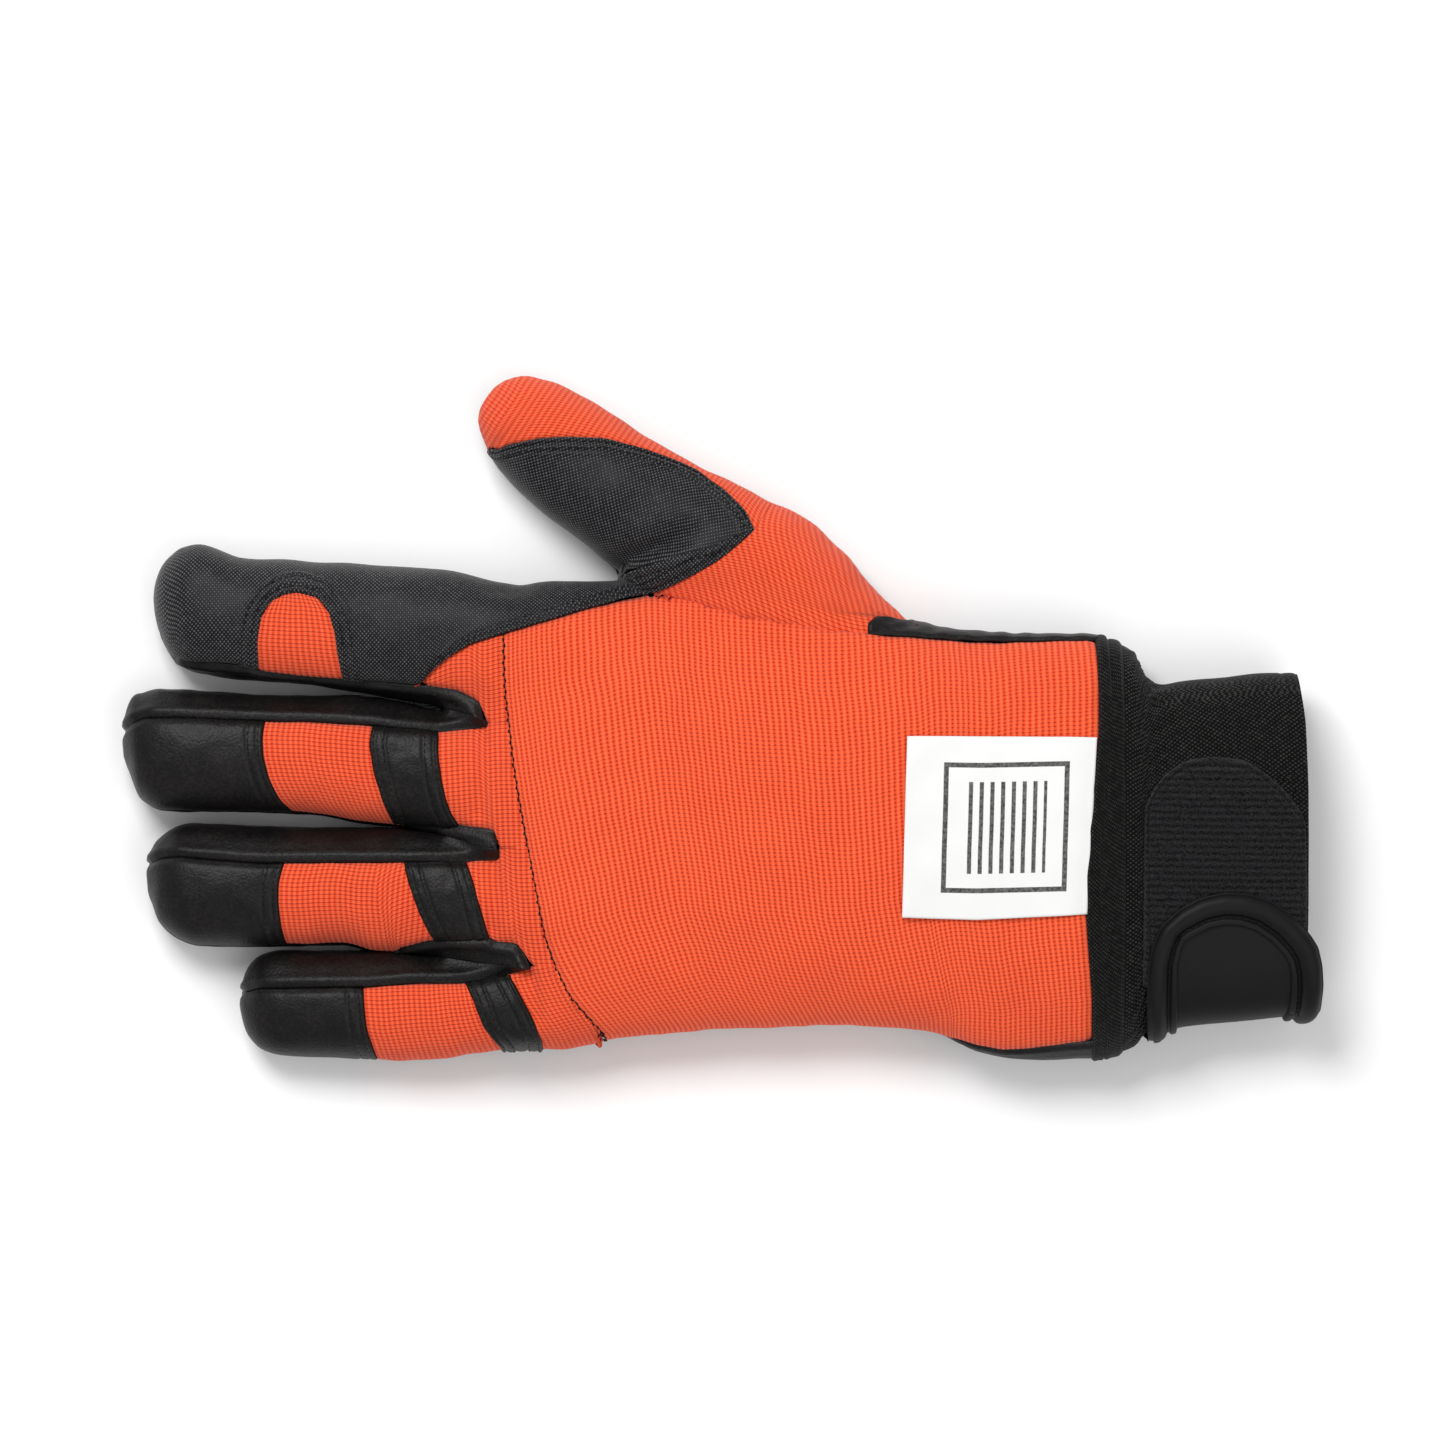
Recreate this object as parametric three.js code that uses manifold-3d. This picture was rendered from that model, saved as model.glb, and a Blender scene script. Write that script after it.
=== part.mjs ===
// A left-hand protective work glove lying palm down: ribbed orange back, black leather palm, caps and
// finger sides, a black nylon cover on the index finger and thumb crotch, and an elastic wrist cuff that
// a rubber tab closes.
// Sizes are in millimetres. X runs from the fingertips to the cuff, Y towards the thumb and Z up from the
// surface that the glove lies on. The working zero is the middle of the finger roots.
import * as THREE from "three";
import { mergeVertices } from "three/addons/utils/BufferGeometryUtils.js";
import Module from "manifold-3d";

const wasm = await Module();
wasm.setup();

// Driving sizes of the hand, the wrist and the fingers. Root is where a finger sits across the hand, and
// lean is how far its tip stands off that.
const hand = { length: 134, width: 92, height: 30 };
const cuff = { length: 46.6, width: 77, height: 25 };
const fingers = {
  index: { length: 78, width: 27.2, height: 21.5, root: 36.7, lean: 11 },
  middle: { length: 85, width: 26.5, height: 22, root: 6.5, lean: 10.6 },
  ring: { length: 79.6, width: 26.3, height: 21.5, root: -20.7, lean: 7 },
  little: { length: 58.5, width: 23.6, height: 19.5, root: -43.1, lean: 1.6 },
};
const thumb = { length: 108, width: 27.5, height: 24, tipX: -3, tipY: 93.9, slope: 33 };

// Thicknesses and clearances
const wall = 1.5;
const coverProud = 0.5; // caps and nylon covers stand this far above the ribbed fabric
const bindingProud = 0.9;
const bandThickness = 1;
const labelThickness = 1;
const loopThickness = 1;
const tabThickness = 2.6;
const tabPanelDrop = 1; // the panel inside the tab's rim lies this far below it
const seamGap = 0.3;
const restPress = 1; // the round undersides are pressed flat by this much where the glove rests

// Heights of the seams round the sides
const palmSeamHeight = 5.5;
const underSeamHeight = 9.5;
const thumbStripHeight = 18;
const littleStripHeight = 20;

// Pieces on the wrist: inset is from the cuff seam, and reach is from the hand's middle line
const binding = { width: 6.1 };
const loop = { inset: 9.8, length: 36.2, thumbReach: 12.7, littleReach: -42, shoulder: 12.5 };
const tab = { inset: 10.2, length: 40.3, thumbReach: -17.2, littleReach: -47.5, shoulder: 20, rim: 4.4 };
const strap = { inset: 15.2, length: 26, reach: -14 };
const label = { length: 41.6, width: 39.8, inset: 1.3, thumbReach: 17.4, skew: 2.2 };

// Round sections are superellipses: the exponents set how boxy their upper and lower halves are, and
// lowShare is how much of the height lies below the widest place.
const handForm = { upper: 2.5, lower: 3.6, lowShare: 0.42, sides: 26, innerSides: 14 };
const fingerForm = { upper: 2.25, lower: 2.8, lowShare: 0.45, sides: 12, innerSides: 8 };
const tabForm = { upper: 2.4, sides: 18 };

// Sections of the hand: the place along it, its edges towards the thumb and the little finger as shares
// of the width, and its height as a share
const handSections = [
  { along: -0.075, thumbSide: 0.46, littleSide: 0.5, height: 0.5 },
  { along: 0, thumbSide: 0.5, littleSide: 0.5, height: 0.68 },
  { along: 0.065, thumbSide: 0.56, littleSide: 0.55, height: 0.84 },
  { along: 0.168, thumbSide: 0.57, littleSide: 0.548, height: 0.97 },
  { along: 0.27, thumbSide: 0.56, littleSide: 0.538, height: 1 },
  { along: 0.437, thumbSide: 0.531, littleSide: 0.521, height: 1.02 },
  { along: 0.605, thumbSide: 0.496, littleSide: 0.518, height: 1.03 },
  { along: 0.739, thumbSide: 0.452, littleSide: 0.536, height: 1.03 },
  { along: 0.807, thumbSide: 0.441, littleSide: 0.581, height: 1.02 },
  { along: 0.88, thumbSide: 0.436, littleSide: 0.598, height: 1.01 },
  { along: 1, thumbSide: 0.433, littleSide: 0.594, height: 1 },
];

// Sections of the cuff: join runs from 0, the hand's last section, to 1, the cuff's own
const cuffSections = [
  { along: 0.12, join: 0.1, thumbSide: 0.431, littleSide: 0.66 },
  { along: 0.2, join: 0.4, thumbSide: 0.431, littleSide: 0.66 },
  { along: 0.26, join: 0.9, thumbSide: 0.4, littleSide: 0.635 },
  { along: 0.33, join: 1, thumbSide: 0.386, littleSide: 0.631 },
  { along: 0.42, join: 1, thumbSide: 0.395, littleSide: 0.614 },
  { along: 0.65, join: 1, thumbSide: 0.409, littleSide: 0.597 },
  { along: 1, join: 1, thumbSide: 0.421, littleSide: 0.578 },
];

// Sections of each finger from its tip to its root, past which it runs on into the hand: how much of the
// lean it has, and its width and height as shares
const fingerSections = {
  index: [
    { along: 0, lean: 1, width: 0.3, height: 0.34 },
    { along: 0.02, lean: 1.02, width: 0.6, height: 0.6 },
    { along: 0.05, lean: 0.96, width: 0.84, height: 0.76 },
    { along: 0.13, lean: 0.89, width: 1.04, height: 0.94 },
    { along: 0.25, lean: 0.67, width: 1, height: 1 },
    { along: 0.5, lean: 0.55, width: 1.02, height: 1.03 },
    { along: 0.71, lean: 0.39, width: 1.09, height: 1.06 },
    { along: 0.86, lean: 0.24, width: 1.16, height: 1.1 },
    { along: 1, lean: 0.02, width: 1.19, height: 1.16 },
    { along: 1.16, lean: 0, width: 1.1, height: 1.16 },
  ],
  middle: [
    { along: 0, lean: 1, width: 0.3, height: 0.34 },
    { along: 0.016, lean: 0.98, width: 0.6, height: 0.58 },
    { along: 0.045, lean: 0.85, width: 0.88, height: 0.78 },
    { along: 0.1, lean: 0.78, width: 1, height: 0.92 },
    { along: 0.2, lean: 0.72, width: 1, height: 0.98 },
    { along: 0.4, lean: 0.68, width: 0.975, height: 1 },
    { along: 0.65, lean: 0.54, width: 1.05, height: 1.04 },
    { along: 0.74, lean: 0.46, width: 1.06, height: 1.06 },
    { along: 0.86, lean: 0.24, width: 1.09, height: 1.1 },
    { along: 1, lean: 0, width: 1.07, height: 1.14 },
    { along: 1.16, lean: 0, width: 1, height: 1.14 },
  ],
  ring: [
    { along: 0, lean: 1, width: 0.3, height: 0.34 },
    { along: 0.018, lean: 0.97, width: 0.54, height: 0.56 },
    { along: 0.045, lean: 0.81, width: 0.78, height: 0.74 },
    { along: 0.12, lean: 0.76, width: 1, height: 0.92 },
    { along: 0.4, lean: 0.65, width: 0.99, height: 1 },
    { along: 0.64, lean: 0.55, width: 1.04, height: 1.03 },
    { along: 0.8, lean: 0.45, width: 1.07, height: 1.08 },
    { along: 1, lean: 0, width: 1, height: 1.12 },
    { along: 1.16, lean: 0, width: 0.92, height: 1.12 },
  ],
  little: [
    { along: 0, lean: 1, width: 0.3, height: 0.36 },
    { along: 0.03, lean: 0.86, width: 0.64, height: 0.62 },
    { along: 0.077, lean: 0.71, width: 0.87, height: 0.8 },
    { along: 0.154, lean: 0.57, width: 0.97, height: 0.92 },
    { along: 0.31, lean: 0.43, width: 1, height: 1 },
    { along: 0.62, lean: 0.14, width: 1.04, height: 1.05 },
    { along: 0.77, lean: 0.07, width: 1.02, height: 1.09 },
    { along: 1, lean: 0, width: 0.9, height: 1.14 },
    { along: 1.2, lean: 0, width: 0.8, height: 1.14 },
  ],
};

// Sections of the thumb and the mound behind it along its own slope, off its middle line by offset
const thumbSections = [
  { along: 0, offset: 0, width: 0.24, height: 0.3 },
  { along: 0.021, offset: 0, width: 0.5, height: 0.52 },
  { along: 0.07, offset: -0.01, width: 0.75, height: 0.74 },
  { along: 0.13, offset: -0.02, width: 0.9, height: 0.88 },
  { along: 0.206, offset: -0.037, width: 0.97, height: 0.95 },
  { along: 0.306, offset: -0.05, width: 1, height: 1 },
  { along: 0.431, offset: -0.08, width: 1.1, height: 1.04 },
  { along: 0.59, offset: -0.08, width: 1.23, height: 1.09 },
  { along: 0.696, offset: -0.05, width: 1.29, height: 1.1 },
  { along: 0.79, offset: -0.04, width: 1.15, height: 1.08 },
  { along: 0.91, offset: -0.09, width: 0.98, height: 1 },
  { along: 1.02, offset: -0.03, width: 0.6, height: 0.8 },
];

// Seams over the hand, as shares of its length and of its width, across from its middle to the thumb.
// Each seam runs on past the edge that it ends at.
const handSeams = {
  knuckle: [
    [0.009, 0.446],
    [0.013, 0.24],
    [0.025, 0.109],
    [0.05, -0.097],
    [0.078, -0.303],
    [0.117, -0.436],
    [0.152, -0.498],
    [0.23, -0.7],
  ],
  coverEdge: [
    [-0.13, 0.3],
    [-0.114, 0.35],
    [-0.086, 0.384],
    [-0.05, 0.416],
    [0.009, 0.444],
    [0.089, 0.476],
    [0.166, 0.509],
    [0.256, 0.545],
    [0.323, 0.582],
    [0.36, 0.614],
    [0.427, 0.695],
    [0.429, 0.697],
  ],
  thumbSeam: [
    [0.256, 0.547],
    [0.311, 0.525],
    [0.4, 0.484],
    [0.479, 0.464],
    [0.54, 0.447],
    [0.618, 0.443],
    [0.64, 0.49],
    [0.66, 0.7],
  ],
  middleRingNotch: [
    [-0.013, -0.02],
    [-0.006, -0.042],
    [0, -0.106],
    [0, -0.13],
  ],
};

// The cuff's seam, from the thumb's side to the little finger's
const cuffSeam = [
  [0.999, 0.8],
  [0.999, 0.429],
  [1.003, 0.301],
  [0.991, 0.047],
  [0.98, -0.148],
  [0.985, -0.335],
  [0.996, -0.552],
  [0.996, -0.8],
];

// The thumb's seam in the palm
const thumbPalmSeam = [
  [0.12, 0.66],
  [0.196, 0.586],
  [0.28, 0.5],
  [0.4, 0.41],
  [0.53, 0.39],
  [0.618, 0.443],
  [0.64, 0.49],
  [0.66, 0.7],
];

// Seams on the thumb, as shares of its length and of its width from its middle line
const thumbSeams = {
  patchEdge: [
    [-0.06, -0.6],
    [0.062, -0.323],
    [0.088, -0.244],
    [0.14, -0.051],
    [0.196, 0.109],
    [0.256, 0.245],
    [0.317, 0.328],
    [0.394, 0.403],
    [0.456, 0.43],
    [0.522, 0.423],
    [0.58, 0.375],
    [0.618, 0.277],
    [0.621, 0.26],
  ],
  crotch: [
    [0.38, -0.95],
    [0.429, -0.639],
    [0.484, -0.386],
    [0.524, -0.188],
    [0.565, -0.033],
    [0.589, 0.124],
    [0.618, 0.277],
    [0.621, 0.295],
  ],
};

// Seams on the fingers, as shares of their length and of their half width from their middle line
const fingerSeams = {
  index: {
    side: [
      [-0.05, -2],
      [0.014, -1.25],
      [0.045, -1.06],
      [0.09, -0.95],
      [0.27, -0.81],
      [0.5, -0.8],
      [0.7, -0.79],
      [0.86, -0.74],
      [0.94, -0.84],
      [0.965, -1.05],
      [0.972, -1.2],
    ],
    window: [
      [0.308, -0.84],
      [0.302, -0.33],
      [0.314, 0.08],
      [0.345, 0.36],
      [0.417, 0.5],
      [0.478, 0.42],
      [0.514, 0.18],
      [0.529, -0.14],
      [0.549, -0.83],
    ],
  },
  middle: {
    side: [
      [-0.2, 0.3],
      [0.04, 0.5],
      [0.1, 0.58],
      [0.4, 0.58],
      [0.7, 0.58],
      [0.84, 0.7],
      [0.95, 0.88],
      [0.966, 0.94],
      [0.985, 1.08],
    ],
    under: [
      [0.7, -0.9],
      [0.76, -0.87],
      [0.89, -0.744],
      [0.987, -0.72],
      [1.01, -0.74],
    ],
    cap: [
      [0.38, 0.61],
      [0.376, 0.1],
      [0.397, -0.4],
      [0.43, -0.8],
      [0.44, -1.3],
    ],
  },
  ring: {
    side: [
      [-0.2, 0.2],
      [0.03, 0.4],
      [0.1, 0.45],
      [0.4, 0.475],
      [0.7, 0.5],
      [0.9, 0.66],
      [0.98, 0.8],
      [1.02, 0.9],
    ],
    under: [
      [0.595, -0.9],
      [0.72, -0.88],
      [0.813, -0.76],
      [0.864, -0.656],
      [0.972, -0.55],
      [1.047, -0.64],
      [1.092, -1.075],
      [1.1, -1.3],
    ],
    cap: [
      [0.394, 0.505],
      [0.38, 0.06],
      [0.377, -0.3],
      [0.394, -1.3],
    ],
  },
  little: {
    side: [
      [-0.2, 0],
      [0.05, 0.3],
      [0.15, 0.36],
      [0.6, 0.36],
      [0.85, 0.45],
      [1.02, 0.68],
      [1.126, 0.9],
      [1.16, 1.1],
    ],
    cap: [
      [0.477, 0.39],
      [0.481, 0.04],
      [0.49, -0.45],
      [0.53, -1.5],
    ],
  },
};

// Edges of the leather bands over the fingers, the one towards the tip first
const bandEdges = {
  middle: [
    [
      [0.663, 0.54],
      [0.656, 0.29],
      [0.667, -0.12],
      [0.687, -0.59],
      [0.714, -0.94],
    ],
    [
      [0.842, 0.66],
      [0.841, 0.37],
      [0.85, -0.06],
      [0.865, -0.49],
      [0.885, -0.72],
    ],
  ],
  ring: [
    [
      [0.728, 0.47],
      [0.744, 0.13],
      [0.773, -0.34],
      [0.815, -0.73],
    ],
    [
      [0.91, 0.62],
      [0.935, 0.18],
      [0.955, -0.2],
      [0.97, -0.52],
    ],
  ],
  little: [
    [
      [0.866, 0.42],
      [0.9, 0.13],
      [0.94, -0.42],
      [0.97, -1.02],
    ],
    [
      [1.041, 0.68],
      [1.086, 0.26],
      [1.131, -0.28],
      [1.16, -1.02],
    ],
  ],
};

// Lengths that only have to reach past the glove
const reach = 2 * (hand.length + cuff.length);
const top = 2 * hand.height;

// Makes a solid from a closed geometry.
function solidOf(geometry) {
  const bare = geometry.index ? geometry.toNonIndexed() : geometry.clone();
  bare.deleteAttribute("normal");
  bare.deleteAttribute("uv");
  const merged = mergeVertices(bare, 1e-4);
  const vertProperties = merged.attributes.position.array;
  const triVerts = new Uint32Array(merged.index.array);
  return new wasm.Manifold(new wasm.Mesh({ numProp: 3, vertProperties, triVerts }));
}

// Joins rings with equal numbers of points, each turning from Y to Z and the next one further along X,
// into a closed tube.
function loft(rings) {
  const sides = rings[0].length;
  const points = rings.flat();
  const faces = [];
  const last = points.length - sides;
  for (let start = 0; start < last; start += sides)
    for (let i = 0; i < sides; i++) {
      const a = start + i;
      const b = start + ((i + 1) % sides);
      faces.push(a, b, a + sides, b, b + sides, a + sides);
    }
  for (let i = 1; i < sides - 1; i++) {
    faces.push(0, i + 1, i);
    faces.push(last, last + i, last + i + 1);
  }
  return solidOf(new THREE.BufferGeometry().setFromPoints(points).setIndex(faces));
}

// A ring of points round a superellipse. Across is its direction in plan, low is the height of its lowest
// point, and grow moves the whole ring outwards.
function ring({ centre, across, halfWidth, height, low, form, grow }) {
  const middle = low + height * form.lowShare;
  const sides = grow < 0 ? form.innerSides : form.sides;
  return Array.from({ length: sides }, (_, i) => {
    const angle = (2 * Math.PI * i) / sides;
    const c = Math.cos(angle);
    const s = Math.sin(angle);
    const share = s > 0 ? 1 - form.lowShare : form.lowShare;
    const power = 2 / (s > 0 ? form.upper : form.lower);
    const side = (halfWidth + grow) * Math.sign(c) * Math.abs(c) ** power;
    const rise = (height * share + grow) * Math.sign(s) * Math.abs(s) ** power;
    return new THREE.Vector3(centre[0] + across[0] * side, centre[1] + across[1] * side, middle + rise);
  });
}

// One column of a table at a place along it, in straight lines between the rows
function read(rows, column, along) {
  const next = rows.findIndex((row) => row.along > along);
  if (next === -1) return rows.at(-1)[column];
  if (next === 0) return rows[0][column];
  const [a, b] = [rows[next - 1], rows[next]];
  return THREE.MathUtils.mapLinear(along, a.along, b.along, a[column], b[column]);
}

// The room that the tab and the patch under it take up below the cuff
const cuffLift = 2 * seamGap + loopThickness + tabThickness;

// The hand and the cuff as one tube, whose open end can be drawn out
function bodyTube(grow, drawnOut = 0) {
  const sections = handSections.map((row) => ({
    x: row.along * hand.length,
    thumbEdge: row.thumbSide * hand.width,
    littleEdge: row.littleSide * hand.width,
    height: row.height * hand.height,
    low: -restPress,
  }));
  const wrist = sections.at(-1);
  for (const row of cuffSections)
    sections.push({
      x: hand.length + row.along * cuff.length,
      thumbEdge: THREE.MathUtils.lerp(wrist.thumbEdge, row.thumbSide * cuff.width, row.join),
      littleEdge: THREE.MathUtils.lerp(wrist.littleEdge, row.littleSide * cuff.width, row.join),
      height: THREE.MathUtils.lerp(wrist.height, cuff.height, row.join),
      low: THREE.MathUtils.lerp(wrist.low, cuffLift - restPress, row.join),
    });
  sections[0].x -= grow;
  if (drawnOut > 0) sections.push({ ...sections.at(-1), x: hand.length + cuff.length + drawnOut });
  const rings = sections.map(({ x, thumbEdge, littleEdge, height, low }) =>
    ring({
      centre: [x, (thumbEdge - littleEdge) / 2],
      across: [0, 1],
      halfWidth: (thumbEdge + littleEdge) / 2,
      height,
      low,
      form: handForm,
      grow,
    }),
  );
  return loft(rings);
}

// Places in plan on the hand, a finger and the thumb, from their shares
const onHand = ([along, across]) => [along * hand.length, across * hand.width];

function onFinger(name, [along, side]) {
  const size = fingers[name];
  const rows = fingerSections[name];
  const centre = size.root + size.lean * read(rows, "lean", along);
  return [(along - 1) * size.length, centre + (side * size.width * read(rows, "width", along)) / 2];
}

const slope = THREE.MathUtils.degToRad(thumb.slope);
const thumbAcross = [Math.sin(slope), Math.cos(slope)];

function onThumb([along, side]) {
  const x = thumb.tipX + along * thumb.length * Math.cos(slope);
  const y = thumb.tipY - along * thumb.length * Math.sin(slope);
  return [x + side * thumb.width * thumbAcross[0], y + side * thumb.width * thumbAcross[1]];
}

// A rounded end rises off the rest surface by a quarter of what its section lacks in height.
const lowOf = (row, height) => (Math.max(0, 1 - row.height) * height) / 4 - restPress;

// A rounded end also gains length as it grows: all of the growth at the tip, and none further on.
const tipGrowth = (along, grow, length) => (grow * Math.max(0, 1 - along / 0.2)) / length;

function fingerTube(name, grow) {
  const { length, width, height } = fingers[name];
  const rings = fingerSections[name].map((row) =>
    ring({
      centre: [
        (row.along - tipGrowth(row.along, grow, length) - 1) * length,
        onFinger(name, [row.along, 0])[1],
      ],
      across: [0, 1],
      halfWidth: (row.width * width) / 2,
      height: row.height * height,
      low: lowOf(row, height),
      form: fingerForm,
      grow,
    }),
  );
  return loft(rings);
}

function thumbTube(grow) {
  const { length, width, height } = thumb;
  const rings = thumbSections.map((row) =>
    ring({
      centre: onThumb([row.along - tipGrowth(row.along, grow, length), row.offset]),
      across: thumbAcross,
      halfWidth: (row.width * width) / 2,
      height: row.height * height,
      low: lowOf(row, height),
      form: fingerForm,
      grow,
    }),
  );
  return loft(rings);
}

// A box between two corners
function block(low, high) {
  const size = high.map((value, i) => value - low[i]);
  const geometry = new THREE.BoxGeometry(...size);
  geometry.translate(...low.map((value, i) => value + size[i] / 2));
  return solidOf(geometry);
}

// An upright prism over an outline in plan
function prism(outline, low, high) {
  const flat = new THREE.Shape(outline.map(([x, y]) => new THREE.Vector2(x, y)));
  const geometry = new THREE.ExtrudeGeometry(flat, { depth: high - low, bevelEnabled: false });
  geometry.translate(0, 0, low);
  return solidOf(geometry);
}

// The thin upright gap that a seam leaves along its line in plan
function seam(line, low = palmSeamHeight, high = top) {
  const left = [];
  const right = [];
  line.forEach(([x, y], i) => {
    const [ax, ay] = line[Math.max(0, i - 1)];
    const [bx, by] = line[Math.min(line.length - 1, i + 1)];
    const half = seamGap / 2 / Math.hypot(bx - ax, by - ay);
    left.push([x - (by - ay) * half, y + (bx - ax) * half]);
    right.unshift([x + (by - ay) * half, y - (bx - ax) * half]);
  });
  return prism([...left, ...right], low, high);
}

// The level gap that a seam leaves at a height
const levelSeam = (outline, height) => prism(outline, height, height + seamGap);

// The seam under a finger's overhanging side, from its tip to where it meets the next finger. It steps up
// there to the seam that goes on from that place.
function underSeam(name) {
  const [end, side] = fingerSeams[name].under[0];
  const places = [-0.2, ...fingerSections[name].map((row) => row.along).filter((along) => along < end), end];
  const middle = places.map((along) => onFinger(name, [along, 0]));
  const edge = places.map((along) => onFinger(name, [along, -1]));
  const outer = edge.map(([x, y]) => [x, y - coverProud - seamGap]);
  const turn = onFinger(name, [end, side]);
  return levelSeam([...outer, ...middle.slice().reverse()], underSeamHeight)
    .add(seam([middle.at(-1), turn], palmSeamHeight, underSeamHeight + seamGap))
    .add(seam([turn, outer.at(-1)], underSeamHeight));
}

// All seams of the glove. The palm's seam is low round the fingers and rises at both sides of the wrist.
function allSeams() {
  const cuffLine = cuffSeam.map(onHand);
  const bindingLine = cuffLine.map(([x, y]) => [x + binding.width, y]);
  const thumbStrip = handSeams.thumbSeam.slice(-3).map(onHand);
  const [thumbStripX] = thumbStrip[0];
  const [littleStripX] = onHand([0.73, 0]);
  const thumbCuffX = cuffLine.at(1)[0] + seamGap;
  const littleCuffX = cuffLine.at(-2)[0] + seamGap;
  const upright = [
    ...Object.values(handSeams).map((rows) => seam(rows.map(onHand))),
    ...Object.values(thumbSeams).map((rows) => seam(rows.map(onThumb))),
    ...Object.entries(fingerSeams).flatMap(([name, seams]) =>
      Object.values(seams).map((rows) => seam(rows.map((share) => onFinger(name, share)))),
    ),
    seam(cuffLine, -restPress),
    seam(bindingLine, -restPress),
    seam(thumbPalmSeam.map(onHand), -restPress, palmSeamHeight + seamGap),
    seam([[littleStripX, 0], [littleStripX, -reach]], palmSeamHeight, littleStripHeight),
  ];
  const level = [
    levelSeam(
      [
        [-reach, -reach],
        [littleStripX, -reach],
        [littleStripX, 0],
        [thumbStripX, 0],
        ...thumbStrip,
        [-reach, reach],
      ],
      palmSeamHeight,
    ),
    levelSeam(
      [[thumbStripX, 0], [thumbCuffX, 0], [thumbCuffX, reach], ...thumbStrip.slice().reverse()],
      thumbStripHeight,
    ),
    levelSeam(
      [[littleStripX, -reach], [littleCuffX, -reach], [littleCuffX, 0], [littleStripX, 0]],
      littleStripHeight,
    ),
    underSeam("middle"),
    underSeam("ring"),
  ];
  return [...upright, ...level].reduce((all, one) => all.add(one));
}

// The whole glove as one solid, grown by a distance and cut flat at a floor
function glove(grow, floor = 0, drawnOut = 0) {
  let made = bodyTube(grow, drawnOut).add(thumbTube(grow));
  for (const name of Object.keys(fingers)) made = made.add(fingerTube(name, grow));
  return made.intersect(block([-reach, -reach, floor], [reach, reach, reach]));
}

// The bodies that the seams part a wall of the glove into, its outside grown by a distance
function partedWall(grow, hollow, seams) {
  return glove(grow).subtract(hollow).subtract(seams).decompose();
}

// The body with the most material over a place in plan, between two heights
function bodyAt(bodies, [x, y], low = palmSeamHeight, high = top) {
  const probe = block([x - 1, y - 1, low], [x + 1, y + 1, high]);
  const shares = bodies.map((body) => body.intersect(probe).volume());
  return bodies[shares.indexOf(Math.max(...shares))];
}

// A layer sewn over the glove's surface, inside an outline in plan and above a height
function layer(form, thickness, outline, low, lift = seamGap) {
  return form(lift + thickness)
    .subtract(form(lift))
    .intersect(prism(outline, low, top));
}

// An outline that is straight at the little finger's side and rounded towards the thumb
function roundEnd(from, length, thumbReach, littleReach, shoulder) {
  const half = length / 2;
  const power = 2 / tabForm.upper;
  const arc = Array.from({ length: tabForm.sides + 1 }, (_, i) => {
    const angle = (Math.PI * i) / tabForm.sides;
    const side = half * Math.sign(Math.cos(angle)) * Math.abs(Math.cos(angle)) ** power;
    return [from + half + side, thumbReach - shoulder * (1 - Math.sin(angle) ** power)];
  });
  return [[from, littleReach], [from + length, littleReach], ...arc];
}

function band(name) {
  const [tipEdge, rootEdge] = bandEdges[name].map((edge) => edge.map((share) => onFinger(name, share)));
  const outline = [...tipEdge, ...rootEdge.reverse()];
  return layer(glove, bandThickness, outline, underSeamHeight + seamGap);
}

// The tab with its strap: a sleeve round the cuff over the loop patch, cut to the tab on the back of the
// wrist and to the strap below it. The strap turns round the little finger's side and lies flat.
function closure() {
  const lift = 2 * seamGap + loopThickness;
  const sleeve = bodyTube(lift + tabThickness, 2 * tabThickness).subtract(bodyTube(lift, 4 * tabThickness));
  const low = cuffLift + cuff.height * handForm.lowShare;
  const from = hand.length + tab.inset;
  const outline = roundEnd(from, tab.length, tab.thumbReach, tab.littleReach - reach, tab.shoulder);
  const insideOf = (rim) =>
    prism(
      roundEnd(from + rim, tab.length - 2 * rim, tab.thumbReach - rim, -reach, tab.shoulder - rim / 2),
      low - seamGap,
      top,
    );
  const panelTop = bodyTube(lift + tabThickness - tabPanelDrop, 2 * tabThickness);
  const head = sleeve.intersect(prism(outline, low, top));
  const strapFrom = hand.length + strap.inset;
  const tail = sleeve.intersect(block([strapFrom, -reach, 0], [strapFrom + strap.length, strap.reach, low]));
  return {
    rim: head.subtract(insideOf(tab.rim)),
    panel: head.intersect(insideOf(tab.rim + seamGap)).intersect(panelTop).add(tail),
  };
}

const materials = {
  orangeFabric: { color: 0xed5838, roughness: 0.9, metalness: 0 },
  blackLeather: { color: 0x29262a, roughness: 0.6, metalness: 0 },
  blackNylon: { color: 0x38373a, roughness: 0.85, metalness: 0 },
  blackKnit: { color: 0x1f1e1f, roughness: 0.95, metalness: 0 },
  blackTape: { color: 0x282625, roughness: 0.8, metalness: 0 },
  blackLoop: { color: 0x201f21, roughness: 1, metalness: 0 },
  blackRubber: { color: 0x2b2a2c, roughness: 0.5, metalness: 0 },
  whiteSatin: { color: 0xf8f8f8, roughness: 0.5, metalness: 0 },
};

function meshOf(name, solid, look) {
  const { vertProperties, triVerts } = solid.getMesh();
  const geometry = new THREE.BufferGeometry();
  geometry.setAttribute("position", new THREE.BufferAttribute(new Float32Array(vertProperties), 3));
  geometry.setIndex(new THREE.BufferAttribute(new Uint32Array(triVerts), 1));
  geometry.computeVertexNormals();
  const mesh = new THREE.Mesh(geometry, new THREE.MeshStandardMaterial({ name: look, ...materials[look] }));
  mesh.name = name;
  return mesh;
}

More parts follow.
